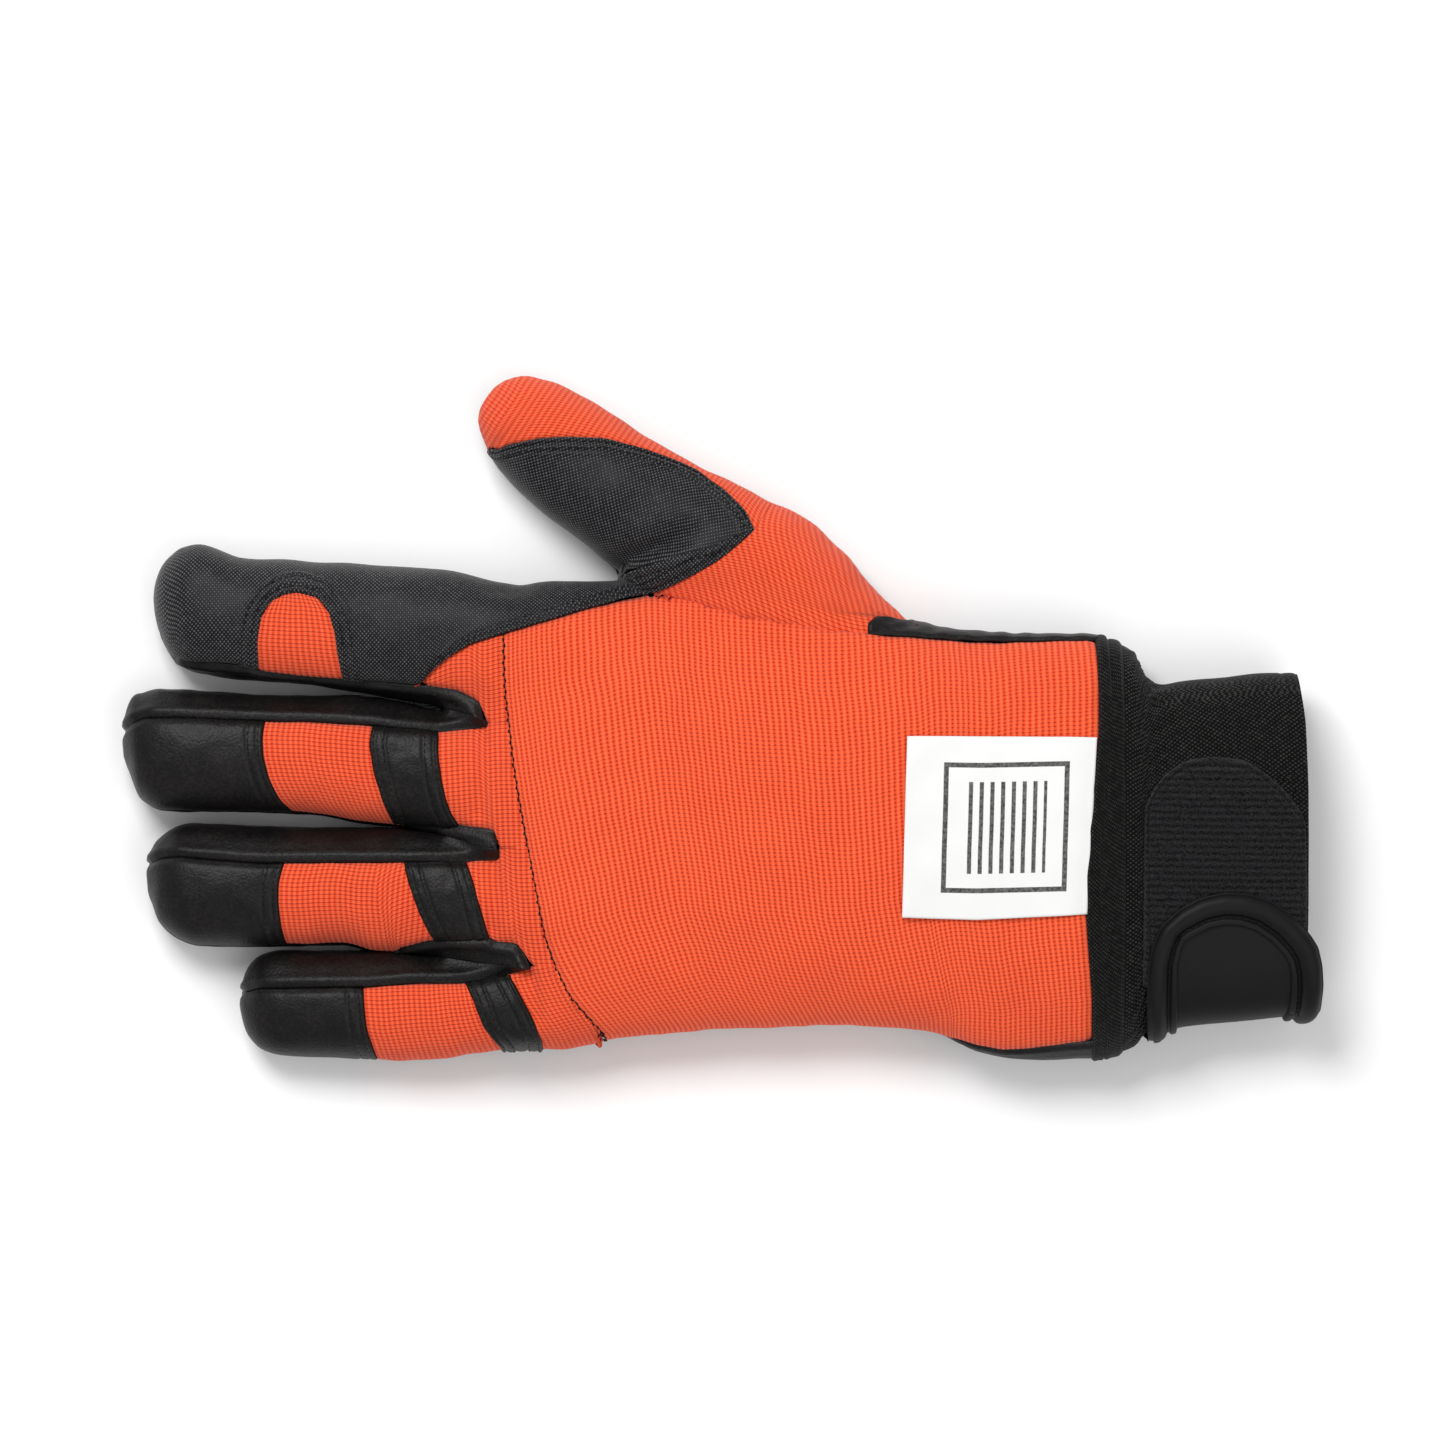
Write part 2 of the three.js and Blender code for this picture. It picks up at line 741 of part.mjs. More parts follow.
function buildGlove() {
  const seams = allSeams();
  const hollow = glove(-wall, wall, wall);
  const plain = partedWall(0, hollow, seams);
  const proud = partedWall(coverProud, hollow, seams);
  const bound = partedWall(bindingProud, hollow, seams);
  const overFinger = (bodies, name, share) => bodyAt(bodies, onFinger(name, share));
  const { rim, panel } = closure();
  const loopFrom = hand.length + loop.inset;
  const loopOutline = roundEnd(loopFrom, loop.length, loop.thumbReach, loop.littleReach, loop.shoulder);
  const labelFrom = hand.length - label.inset;
  const labelLow = label.thumbReach - label.width;
  const labelOutline = [
    [labelFrom - label.length, label.thumbReach],
    [labelFrom - label.length - label.skew / 2, labelLow],
    [labelFrom - label.skew, labelLow],
    [labelFrom, label.thumbReach],
  ];
  const overWrist = cuffLift + cuff.height / 2;
  const group = new THREE.Group();
  group.name = "glove";
  group.add(
    meshOf("hand_back", bodyAt(plain, onHand([0.5, 0.1])), "orangeFabric"),
    meshOf("finger_back", bodyAt(plain, onHand([-0.03, 0.1])), "orangeFabric"),
    meshOf("thumb_back", bodyAt(plain, onHand([0.42, 0.58])), "orangeFabric"),
    meshOf("index_window", overFinger(plain, "index", [0.42, 0]), "orangeFabric"),
    meshOf("index_cover", overFinger(proud, "index", [0.15, 0]), "blackNylon"),
    meshOf("thumb_patch", bodyAt(proud, onThumb([0.4, 0])), "blackNylon"),
    meshOf("middle_cap", overFinger(proud, "middle", [0.2, 0]), "blackLeather"),
    meshOf("ring_cap", overFinger(proud, "ring", [0.2, 0]), "blackLeather"),
    meshOf("little_cap", overFinger(proud, "little", [0.25, 0]), "blackLeather"),
    meshOf("middle_band", band("middle"), "blackLeather"),
    meshOf("ring_band", band("ring"), "blackLeather"),
    meshOf("little_band", band("little"), "blackLeather"),
    meshOf("side_index_middle", overFinger(plain, "middle", [0.5, 0.85]), "blackLeather"),
    meshOf("side_middle_ring", overFinger(plain, "ring", [0.5, 0.8]), "blackLeather"),
    meshOf("side_ring_little", overFinger(plain, "little", [0.5, 0.8]), "blackLeather"),
    meshOf("palm_panel", bodyAt(plain, onHand([0.4, 0]), 0, wall), "blackLeather"),
    meshOf("thumb_palm", bodyAt(plain, onThumb([0.4, 0]), 0, wall), "blackLeather"),
    meshOf("cuff_binding", bodyAt(bound, onHand([1.02, 0])), "blackTape"),
    meshOf("wrist_cuff", bodyAt(plain, onHand([1.2, 0])), "blackKnit"),
    meshOf("loop_patch", layer(bodyTube, loopThickness, loopOutline, overWrist), "blackLoop"),
    meshOf("closure_tab", panel, "blackRubber"),
    meshOf("tab_binding", rim, "blackRubber"),
    meshOf("label", layer(bodyTube, labelThickness, labelOutline, overWrist), "whiteSatin"),
  );
  return group;
}

// The glove with its origin under the middle of its overall box
const made = buildGlove();
const box = new THREE.Box3().setFromObject(made);
const centre = box.getCenter(new THREE.Vector3());
made.position.set(-centre.x, -centre.y, -box.min.z);

export default made;
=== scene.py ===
import logging
import math
from dataclasses import dataclass, field
from enum import Enum
from typing import Callable, Sequence

import bpy
import numpy as np
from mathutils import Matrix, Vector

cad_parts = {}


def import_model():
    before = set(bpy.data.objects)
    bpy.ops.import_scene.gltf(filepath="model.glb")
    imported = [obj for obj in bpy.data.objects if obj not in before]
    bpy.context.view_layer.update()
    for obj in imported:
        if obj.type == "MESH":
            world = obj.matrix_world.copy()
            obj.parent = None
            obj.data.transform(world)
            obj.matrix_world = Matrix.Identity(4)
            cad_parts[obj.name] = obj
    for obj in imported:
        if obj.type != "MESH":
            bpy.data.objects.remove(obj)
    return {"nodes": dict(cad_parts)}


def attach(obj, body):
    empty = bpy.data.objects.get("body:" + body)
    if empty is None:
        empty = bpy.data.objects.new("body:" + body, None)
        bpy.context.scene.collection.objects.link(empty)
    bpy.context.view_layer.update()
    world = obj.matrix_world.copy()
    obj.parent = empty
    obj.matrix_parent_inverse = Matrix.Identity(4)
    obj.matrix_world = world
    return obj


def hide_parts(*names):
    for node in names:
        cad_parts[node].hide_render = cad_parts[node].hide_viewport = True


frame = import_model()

Array = np.ndarray
Rows = Sequence[Sequence[float]]
Colour = tuple[float, float, float]
Material = bpy.types.Material
Socket = bpy.types.NodeSocket

LOG = logging.getLogger("glove")
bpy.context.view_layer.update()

# A photo of the glove from straight above is 1440 px wide, and each px is 0.225 mm on the glove. Plan
# places are given in px, from the photo's upper left corner, and everything else in mm.
PX = 0.225
MIDDLE = np.array([720.0, 720.3])

# Metres in a mm, and metres that every mesh stays above the floor.
METRE = 0.001
FLOOR_GAP = 0.00002


def place(points: Rows) -> Array:
    """Turns plan places in px into mm: X grows to the cuff and Y to the thumb.

    Args:
        points: rows of px to the right and px down.

    Returns:
        Rows of X and Y in mm.
    """
    flat = (np.asarray(points, float) - MIDDLE) * PX
    return flat * np.array([1.0, -1.0])


def along_at(px: float | Array) -> float | Array:
    """Gives the X in mm of places that many px from the photo's left edge."""
    return (px - MIDDLE[0]) * PX


def in_px(points: Array) -> tuple[Array, Array]:
    """Turns points in mm back into px right and px down."""
    return points[..., 0] / PX + MIDDLE[0], MIDDLE[1] - points[..., 1] / PX


def fair(knots: Array, values: Array, at: Array) -> Array:
    """Interpolates smoothly and without overshoot: cubic pieces whose slope at a knot is the harmonic
    mean of the slopes beside it, and zero where they differ in sign.

    Args:
        knots: rising places.
        values: the value at each.
        at: where to interpolate.

    Returns:
        The values there, held constant past the ends.
    """
    step = np.diff(knots)
    slope = np.diff(values) / step
    inner = slope[:-1] * slope[1:]
    first, second = 2 * step[1:] + step[:-1], step[1:] + 2 * step[:-1]
    safe = np.where(inner > 0, inner, 1.0)
    blend = (first + second) * safe / (first * slope[1:] + second * slope[:-1] + 1e-30)
    tangent = np.concatenate([slope[:1], np.where(inner > 0, blend, 0.0), slope[-1:]])
    at = np.clip(at, knots[0], knots[-1])
    k = np.clip(np.searchsorted(knots, at, side="right") - 1, 0, len(knots) - 2)
    t = (at - knots[k]) / step[k]
    square, cube = t * t, t * t * t
    return (
        (2 * cube - 3 * square + 1) * values[k]
        + (cube - 2 * square + t) * step[k] * tangent[k]
        + (3 * square - 2 * cube) * values[k + 1]
        + (cube - square) * step[k] * tangent[k + 1]
    )


def waves(x: Array, y: Array, length: float, seed: int) -> Array:
    """Gives smooth unevenness from -1 to 1: the mean of seven sine waves that run in fixed directions.

    Args:
        x: places along, in mm.
        y: places across, in mm.
        length: the mean wavelength, in mm.
        seed: which of many such patterns.

    Returns:
        The unevenness at each place.
    """
    turn = np.array([0.3, 1.1, 1.9, 2.6, 3.3, 4.4, 5.2]) + 0.77 * seed
    pace = 2 * math.pi / length * np.array([0.7, 0.85, 1.0, 1.12, 1.3, 1.45, 0.93])
    phase = np.array([0.4, 2.0, 4.1, 5.5, 1.2, 3.3, 0.9]) * (1 + 0.37 * seed)
    line = x[..., None] * np.cos(turn) + y[..., None] * np.sin(turn)
    return np.sin(line * pace + phase).mean(-1) * 1.9


# Form of the glove: its tubes, and the surface that they make together


@dataclass
class Tube:
    """A finger, the thumb, or the hand with its cuff: superellipse sections along a straight course.

    Attributes:
        outline: rows of px along, px at the edge towards the thumb and px at the other edge.
        heights: rows of px along, mm of the underside above the floor, and mm of height.
        upper: exponent of the sections' upper halves.
        lower: exponent of the lower halves.
        share: how much of the height lies below the widest place.
        start: plan place in px where along is 0, for a course that isn't the photo's own x.
        heading: unit vector of the course in the photo, right and down.
    """

    outline: Rows
    heights: Rows
    upper: float = 2.25
    lower: float = 2.8
    share: float = 0.45
    start: tuple[float, float] | None = None
    heading: tuple[float, float] = (1.0, 0.0)

    def __post_init__(self) -> None:
        """Works out the sections every 0.15 mm. Widths and heights are interpolated as squares, so that
        an end with no width is round."""
        rows, tall = np.asarray(self.outline, float), np.asarray(self.heights, float)
        if self.start is None:
            self.origin = np.zeros(2)
            self.ahead, self.left = np.array([1.0, 0.0]), np.array([0.0, 1.0])
            along = along_at(rows[:, 0])
            over, under = ((MIDDLE[1] - rows[:, k]) * PX for k in (1, 2))
            tall_at = along_at(tall[:, 0])
        else:
            self.origin = place([self.start])[0]
            self.ahead = np.array([self.heading[0], -self.heading[1]])
            self.left = np.array([self.heading[1], self.heading[0]])
            along, over, under = (rows[:, k] * PX for k in (0, 1, 2))
            tall_at = tall[:, 0] * PX
        self.first, self.last = along[0], along[-1]
        self.at = np.arange(self.first, self.last + 0.15, 0.15)
        self.centre = fair(along, (over + under) / 2, self.at)
        half = fair(along, ((over - under) / 2) ** 2, self.at)
        self.half = np.sqrt(np.maximum(half, 1e-4))
        rise = np.sqrt(np.maximum(fair(tall_at, tall[:, 2] ** 2, self.at), 1e-4))
        low = fair(tall_at, tall[:, 1], self.at)
        self.middle = low + self.share * rise
        self.below, self.above = self.share * rise, (1 - self.share) * rise

    def local(self, points: Array) -> tuple[Array, Array]:
        """Gives how far along the course and how far to its left each point lies.

        Args:
            points: an array whose last axis starts with X and Y in mm.

        Returns:
            Along and across, in mm.
        """
        flat = points[..., :2] - self.origin
        return flat @ self.ahead, flat @ self.left

    def depth(self, points: Array) -> Array:
        """Gives each point's distance from the surface, negative inside. With g the superellipse sum's
        root, which is 1 on the surface, the distance is (g - 1) over the length of g's gradient.

        Args:
            points: X, Y and Z in mm on the last axis.

        Returns:
            The distance in mm, which is close to exact near the surface.
        """
        along, across = self.local(points)
        side = np.abs(across - np.interp(along, self.at, self.centre))
        half = np.interp(along, self.at, self.half)
        rise = points[..., 2] - np.interp(along, self.at, self.middle)
        reach = np.where(
            rise > 0,
            np.interp(along, self.at, self.above),
            np.interp(along, self.at, self.below),
        )
        power = np.where(rise > 0, self.upper, self.lower)
        a, b = side / half + 1e-9, np.abs(rise) / reach + 1e-9
        g = (a**power + b**power) ** (1 / power)
        gradient = g ** (1 - power) * np.hypot(a ** (power - 1) / half, b ** (power - 1) / reach)
        distance = (g - 1) / gradient
        beyond = np.maximum(np.maximum(self.first - along, along - self.last), 0)
        return np.where(beyond > 0, np.hypot(np.maximum(distance, 0), beyond), distance)


def melt(a: Array, b: Array, width: float) -> Array:
    """Joins two distances into one whose surface runs smoothly from one body to the other.

    Args:
        a: distances from the first body.
        b: distances from the second.
        width: how far from the crease the joint spreads, in mm.

    Returns:
        The smaller distance, less a quarter of the width where both are equal.
    """
    h = np.clip(0.5 + 0.5 * (b - a) / width, 0, 1)
    return b + (a - b) * h - width * h * (1 - h)


FINGERS = {
    "index": Tube(
        [
            (151.5, 603, 603), (153, 588, 618), (160, 567.5, 636.5), (170, 555, 655), (180, 548, 665),
            (200, 545, 673), (240, 559, 679), (300, 562, 683), (340, 564, 689), (400, 567, 699),
            (440, 571, 706), (500, 582, 722), (556, 592, 720), (600, 600, 715),
        ],
        [
            (151.5, 4.2, 0), (153, 2.5, 7.3), (160, 1.2, 12.9), (171, 0.3, 16.3), (198, -0.7, 20.2),
            (240, -1, 21.5), (327, -1, 22.1), (399, -1, 22.8), (451, -1, 23.6), (500, -1, 24.9),
            (556, -1, 24.6), (600, 1, 20),
        ],
    ),
    "middle": Tube(
        [
            (121, 738, 738), (122, 723, 753), (128, 702, 770), (140, 694, 798), (160, 690, 809),
            (200, 692, 810), (260, 696, 811), (320, 697, 814), (360, 697, 822), (400, 703, 826),
            (440, 713, 835), (500, 723, 849), (556, 727, 845), (600, 730, 842),
        ],
        [
            (121, 4.4, 0), (122, 2.6, 7.5), (128, 1.3, 12.8), (139, 0.2, 17.2), (160, -0.6, 20.2),
            (198, -0.9, 21.6), (273, -1, 22), (368, -1, 22.9), (447, -1, 24.2), (500, -1, 25.1),
            (556, -1, 24.8), (600, 1, 20),
        ],
    ),
    "ring": Tube(
        [
            (145, 875, 875), (146, 860, 890), (152, 846, 906), (160, 837.5, 924.5), (180, 827, 939),
            (200, 825, 945), (240, 827, 946), (300, 829, 945), (340, 829, 944), (372, 829, 951),
            (430, 830, 956), (500, 850, 964), (556, 856, 958), (600, 860, 955),
        ],
        [
            (145, 4.3, 0), (146, 2.5, 7.3), (152, 1.4, 12), (162, 0.4, 15.9), (189, -0.6, 19.8),
            (288, -1, 21.5), (373, -1, 22.1), (429, -1, 23.2), (500, -1, 24), (556, -1, 24),
            (600, 1, 19),
        ],
    ),
    "little": Tube(
        [
            (238.5, 1000, 1000), (240, 987.5, 1012.5), (248, 967, 1037), (260, 957, 1049),
            (280, 953, 1055), (320, 953, 1057), (360, 953, 1059), (400, 952, 1062), (440, 955, 1060),
            (480, 960, 1054), (500, 962, 1051), (552, 964, 1048), (600, 975, 1040),
        ],
        [
            (238.5, 3.9, 0), (240, 2.1, 7), (248, 0.9, 12.1), (260, 0, 15.6), (280, -0.6, 17.9),
            (321, -1, 19.5), (401, -1, 20.5), (440, -1, 21.3), (500, -1, 22.2), (552, -1, 22.5),
            (600, 1, 18),
        ],
    ),
}

THUMB = Tube(
    [
        (-5.5, 0, 0), (-4, 15, -14), (6, 31, -30), (15, 38, -37), (30, 45, -46), (47, 51, -54),
        (95, 55, -64), (143, 55, -67), (203, 58, -77), (279, 66, -85), (330, 73, -85), (375, 65, -75),
        (433, 49, -71), (468, 41, -49), (492, 20, -30), (503, -5, -5),
    ],
    [
        (-5.5, 4.9, 0), (-4, 3.2, 7.2), (6, 1.9, 12.5), (30, 0.6, 17.8), (58, -0.3, 21.1),
        (95, -0.7, 22.8), (143, -1, 24), (203, -1, 25), (279, -1, 26.2), (330, -1, 26.4),
        (375, -1, 25.9), (433, -0.5, 24), (486, 1, 17), (503, 5, 0),
    ],
    start=(490, 400),
    heading=(0.8387, 0.5446),
)

HAND = Tube(
    [
        (448, 632, 1017), (455, 627, 1019), (500, 610.6, 1022), (539, 586, 1040), (560, 583, 1046),
        (580, 582, 1041), (600, 582, 1039), (661, 586, 1035), (760, 598, 1028), (860, 612, 1027),
        (940, 630, 1034), (981, 634.7, 1052.6), (1024, 637, 1059.5), (1060, 637, 1060),
        (1095, 638, 1058), (1120, 645, 1053), (1136, 654, 1046), (1147, 677, 1033), (1160, 685, 1028),
        (1180, 682, 1022), (1230, 677, 1017), (1270, 674, 1013), (1304, 673, 1010), (1332, 672, 1006),
    ],
    [
        (448, 3.3, 14), (455, 2.75, 15), (500, 1.4, 20.4), (539, 0.2, 25.2), (600, -0.8, 29.1),
        (661, -1, 30), (760, -1, 30.6), (860, -1, 30.9), (940, -1, 30.9), (1024, -1, 30.3),
        (1096, -1, 30), (1120, -0.6, 29.6), (1137, 0.7, 28), (1150, 2.8, 25.5), (1164, 3.2, 25),
        (1304, 3.2, 25), (1332, 3.2, 25),
    ],
    upper=2.5,
    lower=3.6,
    share=0.42,
)


def glove_depth(points: Array) -> Array:
    """Gives each point's distance from the whole glove: the fingers meet in tight creases, and the
    hand and the thumb run into them in wider ones.

    Args:
        points: X, Y and Z in mm on the last axis.

    Returns:
        The distance in mm, negative inside.
    """
    names = list(FINGERS)
    whole = FINGERS[names[0]].depth(points)
    for name in names[1:]:
        whole = melt(whole, FINGERS[name].depth(points), 0.8)
    whole = melt(whole, HAND.depth(points), 4.0)
    return melt(whole, THUMB.depth(points), 2.6)


def lengths(line: Array) -> Array:
    """Gives the length of a polyline up to each of its points."""
    return np.concatenate([[0], np.cumsum(np.linalg.norm(np.diff(line, axis=0), axis=1))])


def dense(line: Rows) -> Array:
    """Fills a line of px places up to one every 3 px, and rounds its corners by two passes of a
    1-2-1 mean, so that it's the same curve on whichever surface it is laid.

    Args:
        line: its corners.

    Returns:
        Rows of px right and down.
    """
    line = np.asarray(line, float)
    if len(line) < 2:
        return line
    length = lengths(line)
    line = spaced(line, int(length[-1] / 3) + 3)
    for _ in range(2):
        line[1:-1] = (line[:-2] + 2 * line[1:-1] + line[2:]) / 4
    return line


def finger_depth(name: str) -> Callable[[Array], Array]:
    """Leaves out the fingers beside one finger.

    Args:
        name: the finger.

    Returns:
        A function that gives the distance from that finger and the hand alone.
    """

    def depth(points: Array) -> Array:
        """Gives each point's distance from that body."""
        return melt(FINGERS[name].depth(points), HAND.depth(points), 4.0)

    return depth


def cover_depth(points: Array) -> Array:
    """Gives each point's distance from the index finger, the hand and the thumb."""
    return melt(finger_depth("index")(points), THUMB.depth(points), 2.6)


class Side(Enum):
    """The two sides of a tube: towards the thumb, and towards the little finger."""

    THUMB = 1
    LITTLE = -1


def passing(q: Array, values: Array, allowed: Array) -> Array:
    """Finds where each row of values first passes zero, or else comes closest to it.

    Args:
        q: the places of a row's values.
        values: the rows.
        allowed: where to look.

    Returns:
        The q for each row.
    """
    known = np.where(allowed, values, np.nan)
    with np.errstate(invalid="ignore"):
        flips = known[:, :-1] * known[:, 1:] <= 0
    k = np.argmax(flips, 1)
    none = ~flips.any(1)
    closest = np.nanargmin(np.abs(known), 1)
    row = np.arange(len(values))
    a, b = values[row, k], values[row, np.minimum(k + 1, values.shape[1] - 1)]
    t = np.clip(a / np.where(a == b, 1, a - b), 0, 1)
    found = q[k] * (1 - t) + q[np.minimum(k + 1, len(q) - 1)] * t
    return np.where(none, q[closest], found)


@dataclass
class Skin:
    """The glove's surface as rays out of one tube reach it. A ray leaves a level spine in the tube, and
    its place q runs round the section in mm: up from the spine where q lies between 0 and the spine's
    width, and fanning round its ends, down to the underside, past them.

    Attributes:
        tube: the tube that the rays leave.
        form: gives the distance from the body whose surface they reach.
        margin: mm left between the spine's ends and the edges, or 0 for a spine that is a point.
        turn: mm of q for each radian of the fans.
        pitch: mm between the sections.
        course: rows of px right, px down and mm of height that the spine follows past the first row.
    """

    tube: Tube
    form: Callable[[Array], Array]
    margin: float = 0.0
    turn: float = 12.0
    pitch: float = 0.9
    course: Rows = ()

    def __post_init__(self) -> None:
        """Lets every ray of a table out until it reaches the surface: each of 18 steps adds most of the
        distance that is left. Sections lie closer together near a round tip."""
        tube = self.tube
        rows = np.asarray(self.course, float)
        last = along_at(rows[-1, 0]) if len(rows) else tube.last
        span = last - tube.first
        count = int(span / self.pitch) + 2
        share = np.linspace(0.004, 1, count)
        self.along = tube.first + span * (share if self.margin else share**1.7)
        self.width = np.full(count, 0.0)
        if self.margin:
            self.width = 2 * (np.interp(self.along, tube.at, tube.half) - self.margin)
        self.centre = np.interp(self.along, tube.at, tube.centre)
        self.level = np.interp(self.along, tube.at, tube.middle)
        if len(rows):
            knots = along_at(rows[:, 0])
            beyond = self.along > knots[0]
            course = fair(knots, (MIDDLE[1] - rows[:, 1]) * PX, self.along)
            self.centre = np.where(beyond, course, self.centre)
            self.level = np.where(beyond, fair(knots, rows[:, 2], self.along), self.level)
        reach = math.pi * self.turn + 0.5 * self.width.max()
        self.q = np.linspace(-reach, self.width.max() + reach, int((2 * reach + self.width.max()) / 0.7))
        sections, turned = np.meshgrid(self.along, self.q, indexing="ij")
        start, ray = self.rays(sections, turned)
        far = np.full(sections.shape, 1.0)
        for _ in range(18):
            far = far - 0.85 * np.clip(self.form(start + ray * far[..., None]), -5, 5)
            far = np.maximum(far, 0.01)
        self.points = start + ray * far[..., None]
        self.angles = np.arccos(np.clip(ray[..., 2], -1, 1))

    def rays(self, along: Array, q: Array) -> tuple[Array, Array]:
        """Gives the rays' starts and directions.

        Args:
            along: places along the tube.
            q: places round it.

        Returns:
            Starts in mm, and unit vectors.
        """
        width = np.interp(along, self.along, self.width)
        half_turn = math.pi * self.turn
        little = np.clip(-q, 0, half_turn) / self.turn
        thumb = np.clip(q - width, 0, half_turn) / self.turn
        back = np.clip(-q - half_turn, 0, width) - np.clip(q - width - half_turn, 0, width)
        across = np.interp(along, self.along, self.centre) - width / 2 + np.clip(q, 0, width) + back
        flat = (
            self.tube.origin
            + along[..., None] * self.tube.ahead
            + across[..., None] * self.tube.left
        )
        lean = (np.sin(thumb) - np.sin(little))[..., None] * self.tube.left
        level = np.interp(along, self.along, self.level)[..., None]
        start = np.concatenate([flat, level], -1)
        return start, np.concatenate([lean, np.cos(thumb + little)[..., None]], -1)

    def read(self, along: Array, q: Array) -> Array:
        """Reads points of the surface off the table, with Catmull-Rom cubics both ways.

        Args:
            along: places along the tube, in mm.
            q: places round it, in mm.

        Returns:
            Points in mm.
        """
        rows, columns = self.points.shape[:2]
        i = np.clip(np.interp(along, self.along, np.arange(rows)), 0, rows - 1.001)
        j = np.clip(np.interp(q, self.q, np.arange(columns)), 0, columns - 1.001)
        i0, j0 = i.astype(int), j.astype(int)

        def weights(t: Array) -> list[Array]:
            """Gives the Catmull-Rom weights.

            Args:
                t: places from 0 to 1 between the middle two of four points.

            Returns:
                The four points' weights.
            """
            return [
                0.5 * (-t + 2 * t**2 - t**3),
                0.5 * (2 - 5 * t**2 + 3 * t**3),
                0.5 * (t + 4 * t**2 - 3 * t**3),
                0.5 * (-(t**2) + t**3),
            ]

        total = np.zeros(along.shape + (3,))
        across = weights(j - j0)
        for di, wi in zip((-1, 0, 1, 2), weights(i - i0)):
            row = np.clip(i0 + di, 0, rows - 1)
            for dj, wj in zip((-1, 0, 1, 2), across):
                column = np.clip(j0 + dj, 0, columns - 1)
                total += (wi * wj)[..., None] * self.points[row, column]
        return total

    def strip(self, along: Array) -> tuple[Array, Array]:
        """Gives whole sections of the table.

        Args:
            along: places along the tube, in mm.

        Returns:
            Their points, and their rays' angles from upright.
        """
        i = np.clip(np.interp(along, self.along, np.arange(len(self.along))), 0, len(self.along) - 1.001)
        low = i.astype(int)
        t = (i - low)[:, None]
        points = self.points[low] * (1 - t[..., None]) + self.points[low + 1] * t[..., None]
        return points, self.angles[low] * (1 - t) + self.angles[low + 1] * t

    def plan(self, places: Rows, below: Side | None = None) -> Array:
        """Finds plan places on the upper or lower surface.

        Args:
            places: rows of px right and down.
            below: for the underside, the half of it to look in.

        Returns:
            Rows of along and q.
        """
        flat = place(dense(places))
        along, across = self.tube.local(flat)
        points, angles = self.strip(along)
        found = self.tube.local(points)[1]
        allowed = angles > 1.5 if below else angles < 1.65
        if below is Side.THUMB:
            allowed &= self.q[None, :] > 0
        if below is Side.LITTLE:
            allowed &= self.q[None, :] < 0
        return np.stack([along, passing(self.q, found - across[:, None], allowed)], 1)

    def at_level(self, height: float, side: Side, first: float, last: float) -> Array:
        """Follows a level line along one side of the tube. Where the tube is low, as at its tip, the
        line keeps to half of its height.

        Args:
            height: mm above the floor.
            side: which side.
            first: px along where it starts.
            last: px along where it ends.

        Returns:
            Rows of along and q.
        """
        along = np.linspace(first, last, 40)
        along = along * PX if self.tube.start is not None else along_at(along)
        points, angles = self.strip(along)
        width = np.interp(along, self.along, self.width)[:, None]
        sided = self.q[None, :] >= width if side is Side.THUMB else self.q[None, :] <= 0
        allowed = sided & (angles > 0.15)
        base, top = points[..., 2].min(1), points[..., 2].max(1)
        values = points[..., 2] - np.minimum(height, (base + top) / 2)[:, None]
        if side is Side.LITTLE:
            q = -passing(-self.q[::-1], values[:, ::-1], allowed[:, ::-1])
        else:
            q = passing(self.q, values, allowed)
        return np.stack([along, q], 1)


def spaced(edge: Array, count: int) -> Array:
    """Spreads points evenly over a polyline.

    Args:
        edge: its points.
        count: how many to give.

    Returns:
        Points at equal steps of its length.
    """
    length = lengths(edge)
    at = np.linspace(0, length[-1], count)
    return np.stack([np.interp(at, length, edge[:, k]) for k in range(edge.shape[1])], 1)


def join(*edges: Array) -> Array:
    """Strings edges together into one polyline."""
    return np.concatenate(edges)


